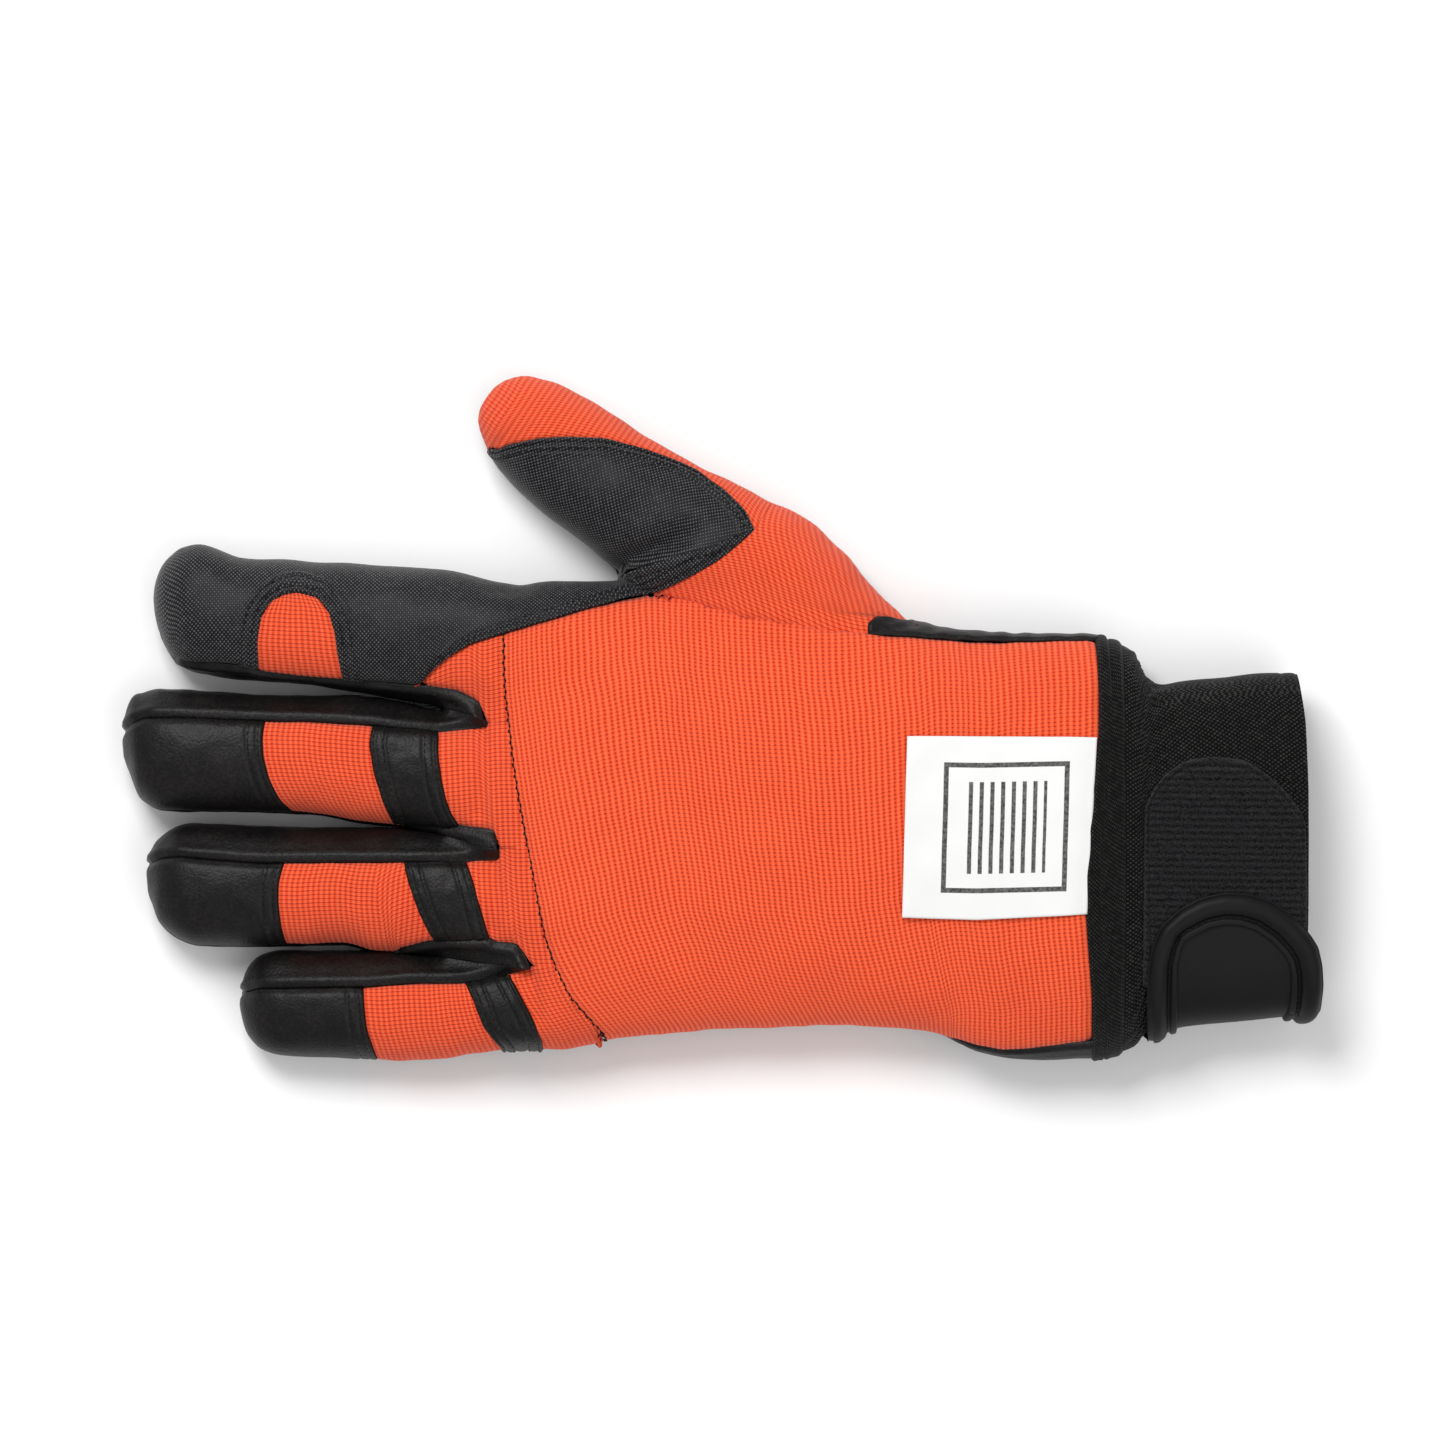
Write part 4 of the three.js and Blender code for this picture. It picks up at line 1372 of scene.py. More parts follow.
@dataclass
class Stitching:
    """Rows of thread. Each stitch is a small closed spindle that lies along its row and dips at both
    ends, where it goes into the material.

    Attributes:
        length: mm of a stitch.
        pitch: mm from one stitch to the next.
        radius: mm of the thread.
        spindles: the stitches' points, an array for each row.
    """

    length: float = 1.3
    pitch: float = 1.65
    radius: float = 0.19
    spindles: list[Array] = field(default_factory=list)

    def sew(self, row: tuple[Array, Array], sink: float = 0.05, zigzag: float = 0.0) -> None:
        """Adds a row. A stitch's section is a six-sided ring whose size and height follow a half sine
        over its length.

        Args:
            row: the row's points, and the directions out of the material.
            sink: mm that the thread's middle lies below the surface.
            zigzag: mm that stitches lean to either side.
        """
        points, out = row
        length = lengths(points)
        count = int(length[-1] / self.pitch)
        if count < 1:
            return
        sides = 6
        t = np.linspace(0, 1, 6)
        start = (np.arange(count) + 0.15) * self.pitch
        at = start[:, None] + t[None] * self.length
        middle = np.stack([np.interp(at, length, points[:, k]) for k in range(3)], -1)
        up = _unit(np.stack([np.interp(at, length, out[:, k]) for k in range(3)], -1))
        ahead = _unit(middle[:, -1:] - middle[:, :1]) + np.zeros_like(middle)
        side = _unit(np.cross(ahead, up))
        swell = np.sqrt(np.maximum(np.sin(math.pi * (0.04 + 0.92 * t)), 0.02))
        lean = zigzag * np.where(np.arange(count) % 2, 1.0, -1.0)[:, None] * np.sin(math.pi * t)[None]
        middle = middle + up * (self.radius * 1.6 * (swell - 0.9) - sink)[None, :, None]
        middle = middle + side * lean[..., None]
        turn = np.arange(sides) / sides * 2 * math.pi
        ring = (
            side[:, :, None] * np.cos(turn)[None, None, :, None]
            + up[:, :, None] * np.sin(turn)[None, None, :, None]
        )
        self.spindles.append(middle[:, :, None] + ring * (self.radius * swell)[None, :, None, None])

    def finish(self, name: str, material: Material, slot: str) -> bpy.types.Object:
        """Makes one object of all rows.

        Args:
            name: the object's name.
            material: the thread's finish.
            slot: not used.

        Returns:
            The object.
        """
        rings = np.concatenate(self.spindles)
        stitches, along, round_ = rings.shape[:3]
        where = rings.reshape(-1, 3) * METRE
        base = np.arange(stitches)[:, None, None] * along * round_
        i, j = np.meshgrid(np.arange(along - 1), np.arange(round_), indexing="ij")
        a = base + (i * round_ + j)[None]
        b = base + (i * round_ + (j + 1) % round_)[None]
        quads = np.stack([a, b, b + round_, a + round_], -1).reshape(-1, 4)
        first = (np.arange(stitches)[:, None] * along * round_ + np.arange(round_)[None, ::-1])
        caps = np.concatenate([first, first[:, ::-1] + (along - 1) * round_])
        mesh = bpy.data.meshes.new(name)
        mesh.from_pydata(where, [], quads.tolist() + caps.tolist())
        mesh.polygons.foreach_set("use_smooth", np.ones(len(mesh.polygons), bool))
        mesh.materials.append(material)
        thing = bpy.data.objects.new(name, mesh)
        bpy.context.scene.collection.objects.link(thing)
        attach(thing, "root")
        LOG.info("%s: %d stitches", name, stitches)
        return thing


# Seams and edges, in rows of px right and px down

INDEX_SEAM = [
    (153, 618), (158, 640), (169, 656), (184, 662), (247, 667), (260, 672), (343, 680), (420, 686),
    (458, 692), (479, 703), (487, 723),
]
MIDDLE_SEAM = [
    (122, 733), (129, 725), (144, 718), (182, 717), (266, 720.5), (305, 721), (371, 725), (393, 728),
    (440, 730.5), (487, 727),
]
MIDDLE_UNDER = [(408, 825), (430, 826), (459, 826), (495, 831)]
RING_SEAM = [
    (146, 866), (159, 858.5), (182, 857), (235, 861.5), (267, 863.5), (285, 862.4), (349, 862),
    (405, 861.5), (467, 860.6), (500, 858.5),
]
RING_UNDER = [
    (400, 950), (434, 940.7), (452, 937.7), (490, 937.7), (494.5, 942), (516.5, 943.6), (532.7, 966),
]
LITTLE_SEAM = [
    (240, 994), (258, 989), (349, 987), (365.5, 987), (408, 983), (464, 981.7), (505, 974.4), (532.7, 967),
]
CREASES = (
    [(449, 709), (457, 710.5), (465, 712), (473, 714), (481, 717), (487, 723)],
    [
        (409, 828.5), (416, 829.3), (424, 830.5), (440, 833.5), (456, 837), (472, 843), (488, 846.5),
        (500, 848),
    ],
    [
        (372, 952), (388, 952.6), (404, 953.5), (420, 954.5), (436, 956), (452, 958), (468, 960.5),
        (484, 962.5), (508, 964), (532.7, 967),
    ],
)
COVER_EDGE = [
    (420, 686), (432, 672), (449, 658), (470, 645), (505, 634), (553, 620.5), (599, 607), (632, 598.5),
    (652, 594.8), (665, 590), (692, 577), (715, 564), (738, 546), (754, 531),
]
COVER_COURSE = [
    (400, 633, 9.3), (440, 630, 9.3), (480, 618, 9), (520, 610, 9), (560, 603, 8.5), (600, 596, 7.5),
    (617, 590, 7), (656, 577, 7), (700, 561, 7), (738, 543, 7), (754, 535, 7), (762, 531, 7),
]
CROTCH_SEAM = [(626, 571), (656, 564), (685, 554), (712, 549), (732, 539), (754, 531)]
PATCH_EDGE = [
    (491, 448), (498, 451), (506, 446), (539.5, 439.6), (573, 438), (606, 439.6), (636, 447),
    (672, 459.5), (699, 473), (725, 491), (745, 511), (754, 531),
]
THUMB_SEAM = [(652, 594.8), (685, 600.4), (738.5, 617), (785, 625), (821, 632), (868, 633.6)]
KNUCKLE = [
    (505, 634), (505, 669), (506, 699), (510, 728), (515, 770), (522, 812.5), (529, 854.6), (538, 897),
    (546, 939), (555, 964), (569, 993.5), (590.5, 1019), (605, 1036),
]
CUFF_SEAM = [
    (1095, 639.5), (1096, 661), (1097, 692), (1096, 735), (1093, 765), (1090, 796), (1086, 839),
    (1083, 875.5), (1083, 912), (1086, 952), (1090, 998), (1091, 1041),
]
STRIP_EDGE = [(868, 633.6), (880, 635), (906, 636), (946, 639), (982.5, 640), (1044, 640.5), (1095, 639.5)]
STRIP_START = [(868, 633.6), (868.5, 625), (875, 618), (890.6, 620), (908, 625), (921, 628.5)]
BULGE_EDGE = [
    (951, 1038), (976, 1045), (1002, 1050), (1029, 1048), (1052, 1045), (1091, 1041),
]
THUMB_PALM = [(617, 576), (667, 611), (738, 647), (816, 655), (868, 636)]
CAP_EDGES = {
    "middle": [(291, 811), (285, 805), (280, 800), (270, 778), (265, 757), (264, 737), (266, 721)],
    "ring": [(285, 944), (282, 927.5), (279.5, 904), (280, 883.5), (285, 863)],
    "little": [(376, 1058), (367.5, 1030), (365, 1004), (364, 988)],
}
BAND_EDGES = {
    "middle": (
        [(393, 824), (382, 798), (374, 769), (370, 743), (373, 725.5)],
        [(459, 825.5), (449, 804), (443, 778), (440, 751.5), (440, 730.5)],
    ),
    "ring": (
        [(434, 941), (420, 913), (409.5, 883.5), (404, 862)],
        [(490, 937), (477, 889), (468, 861)],
    ),
    "little": (
        [(500, 1047), (484, 1027), (474, 1001), (465, 982)],
        [(543, 1041), (534, 1018), (522, 995), (511, 974)],
    ),
}
FOLDS = (
    [(482, 734), (483, 760), (482, 790), (480, 814)],
    [(492, 862), (496, 885), (496, 905), (492, 928)],
    [(530, 974), (534, 992), (536, 1016)],
)
WINDOW = [
    (258, 676), (257.5, 643), (262, 618), (272.6, 601), (285, 594), (298, 592), (319, 597.6),
    (331.5, 613.6), (337, 634.6), (339.5, 653.5), (345, 684),
]

# Dents in the nylon: the place in px, mm of half width along and across, and mm of depth.
COVER_DENTS = (((508, 590), (7, 2.2), 0.9), ((575, 600), (10, 3), -0.5), ((460, 640), (5, 3), 0.35))
PATCH_DENTS = (((655, 551), (9, 2.8), 3.2), ((600, 500), (14, 5), -0.5))

# Rows of stitches, in mm inside the edge: on caps, on bands, and on the nylon's hems, with where a hem's
# double thickness ends.
CAP_ROWS = (1.4, 3.7)
BAND_ROWS = (1.3, 3.6)
HEM_ROWS = (1.3, 3.3)
HEM_END = (3.7, 4.4)


def finger_skin(name: str) -> Skin:
    """Gives one finger's surface."""
    return Skin(FINGERS[name], finger_depth(name), pitch=0.8)


@dataclass
class Surfaces:
    """The glove's surface as seen from each tube."""

    index: Skin = field(default_factory=lambda: finger_skin("index"))
    middle: Skin = field(default_factory=lambda: finger_skin("middle"))
    ring: Skin = field(default_factory=lambda: finger_skin("ring"))
    little: Skin = field(default_factory=lambda: finger_skin("little"))
    cover: Skin = field(
        default_factory=lambda: Skin(FINGERS["index"], cover_depth, pitch=0.8, course=COVER_COURSE)
    )
    thumb: Skin = field(default_factory=lambda: Skin(THUMB, glove_depth, pitch=0.8))
    hand: Skin = field(default_factory=lambda: Skin(HAND, glove_depth, margin=13.0, pitch=1.2))

    def tipped(self) -> list[tuple[Skin, float]]:
        """Gives each finger's surface with the px along of its tip."""
        return [(self.index, 152), (self.middle, 121.5), (self.ring, 145.5), (self.little, 239)]


def made(finish: Finish, name: str) -> Material:
    """Gives a dataclass field whose material is made when the glove is."""
    return field(default_factory=lambda: finish.make(name))


@dataclass
class Finishes:
    """Every material of the glove."""

    orange: Material = made(RibbedFabric(), "orange_fabric")
    checked: Material = made(
        RibbedFabric(dash=0.94, lines=0.62, shift=0.04, wander=0.35), "orange_fabric_stretched"
    )
    nylon: Material = made(
        Weave((94, 93, 99), (2, 2, 3), pitch=(0.9, 1.08), depth=0.00024, rough=0.5, specular=0.2),
        "black_nylon",
    )
    leather: Material = made(Leather(), "black_leather")
    tape: Material = made(
        Weave((46, 44, 42), (3, 3, 3), (0.8, 0.95), 0.00022, rough=0.75, specular=0.08, uneven=0.45),
        "black_tape",
    )
    knit: Material = made(
        Weave((56, 53, 50), (1, 1, 2), (1.3, 0.95), 0.00025, rough=0.8, specular=0.08, uneven=0.4),
        "black_knit",
    )
    loop: Material = made(LoopPile(), "black_loop")
    rubber: Material = made(Rubber(), "black_rubber")
    satin: Material = made(Satin(), "white_satin")
    thread: Material = made(Thread(), "black_thread")


@dataclass
class Glove:
    """What every sub-assembly builds with: the surfaces, the finishes and the stitching."""

    skins: Surfaces = field(default_factory=Surfaces)
    finishes: Finishes = field(default_factory=Finishes)
    seams: Stitching = field(default_factory=Stitching)
    knuckle_thread: Stitching = field(default_factory=lambda: Stitching(1.15, 1.3, 0.22))


@dataclass
class BackStrip:
    """One strip of the fingers' orange back.

    Attributes:
        panel: its surface.
        low_end: px along where the valley at its low edge ends.
        high_end: px along where the valley at its high edge ends.
        turn: px along where its ribs start to turn across the hand, and where they have turned.
        tucked: mm that its start lies deeper than the rest.
    """

    panel: Panel
    low_end: float
    high_end: float
    turn: tuple[float, float] = (380, 400)
    tucked: float = 0.3


@dataclass
class Fingers:
    """The four fingers: leather caps and bands, orange backs, leather sides, and the nylon cover of the
    index finger with its window.

    Attributes:
        glove: what it builds with.
        proud: mm that the caps stand over the fabric.
        palm_level: mm above the floor where the palm's pieces end.
        side_level: mm above the floor where the backs end on the side towards the little finger.
    """

    glove: Glove
    proud: float = 0.45
    palm_level: float = 5.5
    side_level: float = 9.5

    def caps(self) -> None:
        """Builds the fingertip caps, which stand proud with two sewn rows beside their edge."""
        tips = {"middle": (121.5, MIDDLE_SEAM), "ring": (145.5, RING_SEAM), "little": (239, LITTLE_SEAM)}
        for name, (tip, seam) in tips.items():
            skin = getattr(self.glove.skins, name)
            edge = CAP_EDGES[name]
            last = skin.plan(edge)
            under = self.palm_level if name == "little" else self.side_level
            low = skin.at_level(under, Side.LITTLE, tip, edge[0][0] + 1)
            high = skin.plan([p for p in seam if p[0] < edge[-1][0] - 3] + [edge[-1]])
            last = join(low[-1:], last)
            panel = between(skin, low, high, (90, 60), last=last)
            relief = self.proud * (1 - bell(panel.end_u, 0.3))
            relief += valley(panel.end_v, 0.7, 1.0) + valley(panel.start_v, 0.5, 1.2)
            for inset in CAP_ROWS:
                relief += valley(panel.end_u - inset, 0.25, 0.4)
            relief += 0.12 * panel.uneven(9, 1)
            panel.lift(relief)
            for inset in CAP_ROWS:
                self.glove.seams.sew(panel.line("u1", inset))
            leather = self.glove.finishes.leather
            put(name + "_cap_leather", [panel], leather, [name + "_cap"], 1.2)

    def bands(self) -> None:
        """Builds the leather bands, sewn in two rows beside each long edge."""
        seams = {"middle": MIDDLE_SEAM, "ring": RING_SEAM, "little": LITTLE_SEAM}
        for name, (near, far) in BAND_EDGES.items():
            skin = getattr(self.glove.skins, name)
            first, last = skin.plan(near), skin.plan(far)
            if name == "little":
                first, last = (
                    join(skin.at_level(self.palm_level, Side.LITTLE, px, px + 2)[:1], edge)
                    for px, edge in ((near[0][0], first), (far[0][0], last))
                )
            inner = [p for p in seams[name] if near[-1][0] + 2 < p[0] < far[-1][0] - 2]
            high = skin.plan([near[-1], *inner, far[-1]])
            low = spaced(np.stack([first[0], last[0]]), 8)
            panel = cut(skin, low, high, first, last, (56, 64))
            side = np.minimum(panel.start_u, panel.end_u)
            relief = (self.proud + 0.35) * (1 - bell(side, 0.3))
            relief += valley(panel.end_v, 0.8, 1.2) + valley(panel.start_v, 0.5, 1.2)
            for inset in BAND_ROWS:
                relief += valley(side - inset, 0.25, 0.4)
            relief += 0.1 * panel.uneven(5, 2)
            panel.lift(relief)
            for edge in ("u0", "u1"):
                for inset in BAND_ROWS:
                    self.glove.seams.sew(panel.line(edge, inset))
            leather = self.glove.finishes.leather
            put(name + "_band_leather", [panel], leather, [name + "_band"], 0.8)

    def under_cap(self, name: str, level: float, px: float) -> Array:
        """Gives the start of a finger's back, 8 px inside its cap.

        Args:
            name: the finger.
            level: mm above the floor where the back's side ends.
            px: px along of that end.

        Returns:
            Rows of along and q.
        """
        skin = getattr(self.glove.skins, name)
        side = skin.at_level(level, Side.LITTLE, px, px - 1)[:1]
        return join(side, skin.plan([(x - 8, y) for x, y in CAP_EDGES[name]]))

    def backs(self) -> None:
        """Builds the orange backs, which run from under the caps over the knuckles to the stitched
        line."""
        skins, side, palm = self.glove.skins, self.side_level, self.palm_level
        index, middle, ring, little = skins.index, skins.middle, skins.ring, skins.little
        tongue = between(
            index,
            index.plan(INDEX_SEAM[7:] + [(490, 726), (509, 726)]),
            index.plan(COVER_EDGE[:5]),
            (110, 30),
            last=index.plan([(509, 726), KNUCKLE[2], KNUCKLE[1], (505, 634)]),
            ribs=22,
        )
        middle_back = between(
            middle,
            join(
                middle.at_level(side, Side.LITTLE, 284, 404),
                middle.plan(MIDDLE_UNDER + [(500, 849), (512, 849), (527, 849)]),
            ),
            middle.plan([(258, 720.5), *MIDDLE_SEAM[4:-1], (487, 723.5), (498, 722), (509, 722)]),
            (330, 44),
            first=self.under_cap("middle", side, 284),
            last=middle.plan([(528, 849), (522, 812.5), (515, 770), (509, 722)]),
            ribs=44,
        )
        ring_back = between(
            ring,
            join(
                ring.at_level(side, Side.LITTLE, 277, 396),
                ring.plan(RING_UNDER + [(540, 968), (555, 968)]),
            ),
            ring.plan([(277, 862.5), *RING_SEAM[5:-1], (499, 857), (499, 845), (512, 845), (527, 845)]),
            (330, 44),
            first=self.under_cap("ring", side, 277),
            last=ring.plan([(556, 968), (546, 939), (538, 897), (529, 854.6), (527, 845)]),
            ribs=44,
        )
        little_back = between(
            little,
            little.at_level(palm, Side.LITTLE, 368, 608),
            little.plan([(356, 987), *LITTLE_SEAM[3:-1], (531, 967), (540, 965), (555, 964)]),
            (310, 44),
            first=self.under_cap("little", palm, 368),
            last=join(
                little.at_level(palm, Side.LITTLE, 606, 608)[-1:],
                little.plan([(606, 1034), (590.5, 1019), (569, 993.5), (555, 964)]),
            ),
            ribs=40,
        )
        strips = [
            BackStrip(tongue, 487, 999),
            BackStrip(middle_back, 495, 487, (330, 480), 0.9),
            BackStrip(ring_back, 532, 499, (340, 490), 0.9),
            BackStrip(little_back, 999, 531, (420, 535), 0.9),
        ]
        panels = []
        for strip in strips:
            panel = strip.panel
            knuckle_ribs(panel, *strip.turn)
            relief = ridge(panel, 0.09)
            relief += valley(panel.end_v, 0.7, 1.1) * before(panel.points, strip.high_end)
            relief += valley(panel.start_v, 0.6, 1.1) * before(panel.points, strip.low_end)
            relief += valley(panel.end_u, 0.45, 0.9)
            relief -= strip.tucked * (1 - step(panel.start_u, 1.5, 2.1))
            for fold in FOLDS:
                relief += valley(away_from(panel.points, fold), 1.1, 1.8)
            relief += 0.12 * panel.uneven(9, 3)
            panels.append(panel.lift(relief))
        put("finger_back_cloth", panels, self.glove.finishes.checked, ["finger_back"], 1.2)

    def foot(self, skin: Skin, side: Side, run: tuple[float, float], crease: Rows) -> Array:
        """Gives the lower edge of the leather on a finger's side.

        Args:
            skin: the finger's surface.
            side: which side of it.
            run: px along where the edge's level part starts and ends.
            crease: px places on the back of the hand where it runs on.

        Returns:
            Rows of along and q.
        """
        return join(skin.at_level(self.palm_level, side, *run), skin.plan(crease))

    def sides(self) -> None:
        """Builds the leather between the fingers: from each top seam down to the palm, and round the
        crotches to a tongue on the back of the hand."""
        skins, level = self.glove.skins, self.side_level
        index, middle, ring, little = skins.index, skins.middle, skins.ring, skins.little
        first, second, third = CREASES
        under_middle = middle.plan(MIDDLE_UNDER + [(499, 838)])
        plans = {
            "side_index_middle": [
                (index, self.foot(index, Side.LITTLE, (153, 442), first), index.plan(INDEX_SEAM)),
                (middle, middle.plan(MIDDLE_SEAM), self.foot(middle, Side.THUMB, (122, 442), first)),
            ],
            "side_middle_ring": [
                (
                    middle,
                    self.foot(middle, Side.LITTLE, (122, 406), second),
                    join(middle.at_level(level, Side.LITTLE, 122, 402), under_middle),
                ),
                (ring, ring.plan(RING_SEAM), self.foot(ring, Side.THUMB, (146, 406), second)),
            ],
            "side_ring_little": [
                (
                    ring,
                    self.foot(ring, Side.LITTLE, (146, 368), third),
                    join(ring.at_level(level, Side.LITTLE, 146, 394), ring.plan(RING_UNDER)),
                ),
                (little, little.plan(LITTLE_SEAM), self.foot(little, Side.THUMB, (240, 368), third)),
            ],
        }
        for name, halves in plans.items():
            panels = []
            for k, (skin, low, high) in enumerate(halves):
                panel = between(skin, low, high, (190, 26))
                away = panel.start_v if k else panel.end_v
                relief = 0.25 + valley(away, 0.8, 0.8) + 0.35 * bell(away - 1.9, 1.0)
                crease = panel.end_v if k else panel.start_v
                relief = relief + valley(panel.end_u, 0.3, 1.0)
                relief += 1.5 * np.exp(-((crease / 1.7) ** 2) - (panel.end_u / 7) ** 2)
                relief += 0.1 * waves(panel.points[..., 0], panel.points[..., 2] * 1.5, 8, 4)
                panels.append(panel.lift(relief))
            put(name + "_leather", panels, self.glove.finishes.leather, [name], 1.0)

    def cover(self) -> None:
        """Builds the nylon cover of the index finger, hemmed in two rows, and its orange window."""
        skin = self.glove.skins.cover
        low = skin.plan(INDEX_SEAM[:8] + COVER_EDGE[1:])
        side = skin.at_level(self.palm_level, Side.THUMB, 152, 619)
        high = join(side, skin.plan([(624.5, 579.5), (627, 573), *CROTCH_SEAM[1:]]))
        panel = between(skin, low, high, (330, 104))
        panel.straighten(skin.tube, "v0")
        x, y = panel.points[..., 0], panel.points[..., 1]
        hemmed = 1 / (1 + np.exp(-(x - along_at(425)) / 1.2))
        crotch = 1 / (1 + np.exp(-(x - along_at(622)) / 1.2))
        ring = away_from(panel.points, WINDOW)
        hole = inside(panel.points, WINDOW)
        relief = 0.3 + valley(panel.start_v, 0.75, 0.7) * (1 - hemmed)
        relief = relief + hemmed * 0.45 * (1 - step(panel.start_v, *HEM_END))
        relief = relief - hemmed * 0.5 * bell(panel.start_v, 0.35)
        for inset in HEM_ROWS:
            relief += hemmed * valley(panel.start_v - inset, 0.7, 0.42)
            relief += valley(ring - inset, 0.7, 0.42) * (panel.start_v > 0.6)
        relief += crotch * (0.3 + valley(panel.end_v, 0.5, 0.5) + valley(panel.end_v - 2.2, 0.25, 0.4))
        relief += np.where(hole, -0.9 * (1 - bell(ring, 0.25)), 0.6 * (1 - step(ring, *HEM_END)))
        relief += 0.25 * waves(x, y, 14, 5)
        for where, width, depth in COVER_DENTS:
            off = panel.points[..., :2] - place([where])[0]
            relief -= depth * np.exp(-((off[..., 0] / width[0]) ** 2) - (off[..., 1] / width[1]) ** 2)
        panel.lift(relief)
        for inset in HEM_ROWS:
            self.glove.seams.sew(kept(panel.line("v0", inset, 300), 432, 745))
        self.glove.seams.sew(kept(panel.line("v1", 2.2, 300), 632, 740))
        put("index_cover_cloth", [panel], self.glove.finishes.nylon, ["index_cover"], 1.0)
        for inset in HEM_ROWS:
            path = spaced(grown(place(WINDOW[1:-1]), inset), 90)
            at = skin.plan(path / PX * np.array([1.0, -1.0]) + MIDDLE)
            line = skin.read(at[:, 0], at[:, 1])
            tilt = (line[:, 1] - np.interp(line[:, 0], skin.tube.at, skin.tube.centre)) / 22
            up = _unit(np.stack([0 * tilt, tilt, 0 * tilt + 1], 1))
            self.glove.seams.sew((line + up * 0.4, up))
        window = cut(
            skin,
            skin.plan([(257, 672), (300, 677.5), (346, 681)]),
            skin.plan([(272, 600), (285, 594), (298, 591.5), (309, 593.5), (320, 597.5)]),
            skin.plan([(257, 672), (256.5, 643), (261, 617), (272, 600)]),
            skin.plan([(346, 681), (340.5, 653.5), (338, 634.6), (333, 613), (320, 597.5)]),
            (108, 50),
            ribs=14,
        )
        edge = np.minimum(np.minimum(window.start_u, window.end_u), window.end_v)
        relief = ridge(window, 0.14) + 0.05 + valley(edge, 0.5, 0.8) + valley(window.start_v, 0.5, 0.8)
        window.lift(relief)
        checked = self.glove.finishes.checked
        put("index_window_cloth", [window], checked, ["index_window"], 0.8)

    def build(self) -> None:
        """Builds everything on the fingers."""
        self.caps()
        self.bands()
        self.backs()
        self.sides()
        self.cover()


def away_from(points: Array, line: Rows) -> Array:
    """Gives each point's plan distance from a line: the least of the distances from its straight parts.

    Args:
        points: X and Y in mm first on the last axis.
        line: the line's px places.

    Returns:
        The distances, in mm.
    """
    knots = place(line)
    flat = points[..., None, :2]
    start, step = knots[:-1], np.diff(knots, axis=0)
    t = np.clip(((flat - start) * step).sum(-1) / (step**2).sum(-1), 0, 1)
    return np.linalg.norm(flat - start - t[..., None] * step, axis=-1).min(-1)


def inside(points: Array, line: Rows) -> Array:
    """Tells which points lie inside a closed line: those from which a ray crosses it an odd number of
    times.

    Args:
        points: X and Y in mm first on the last axis.
        line: the line's px places.

    Returns:
        True inside.
    """
    knots = place(line)
    ends = np.roll(knots, -1, axis=0)
    x, y = points[..., None, 0], points[..., None, 1]
    spans = (knots[:, 1] > y) != (ends[:, 1] > y)
    rise = np.where(ends[:, 1] == knots[:, 1], 1e-9, ends[:, 1] - knots[:, 1])
    crossing = knots[:, 0] + (y - knots[:, 1]) * (ends[:, 0] - knots[:, 0]) / rise
    return (spans & (x < crossing)).sum(-1) % 2 == 1


def grown(line: Array, away: float) -> Array:
    """Moves a line sideways, to the left of the way that it runs.

    Args:
        line: its plan points, in mm.
        away: how far, in mm.

    Returns:
        60 points of the moved line.
    """
    line = spaced(line, 60)
    ahead = np.gradient(line, axis=0)
    side = np.stack([-ahead[:, 1], ahead[:, 0]], 1)
    return line + _unit(side) * away


def facing(edge: Array, q: float) -> Array:
    """Gives the places at one q beside an edge's own, such as on the middle of the underside."""
    return np.stack([edge[:, 0], 0 * edge[:, 0] + q], 1)


def kept(row: tuple[Array, Array], first: float, last: float) -> tuple[Array, Array]:
    """Keeps a part of a row.

    Args:
        row: points, and directions out of the material.
        first: px along where the part starts.
        last: px along where it ends.

    Returns:
        The part's points and directions.
    """
    low, high = along_at(first), along_at(last)
    keep = (row[0][:, 0] >= low) & (row[0][:, 0] <= high)
    return row[0][keep], row[1][keep]


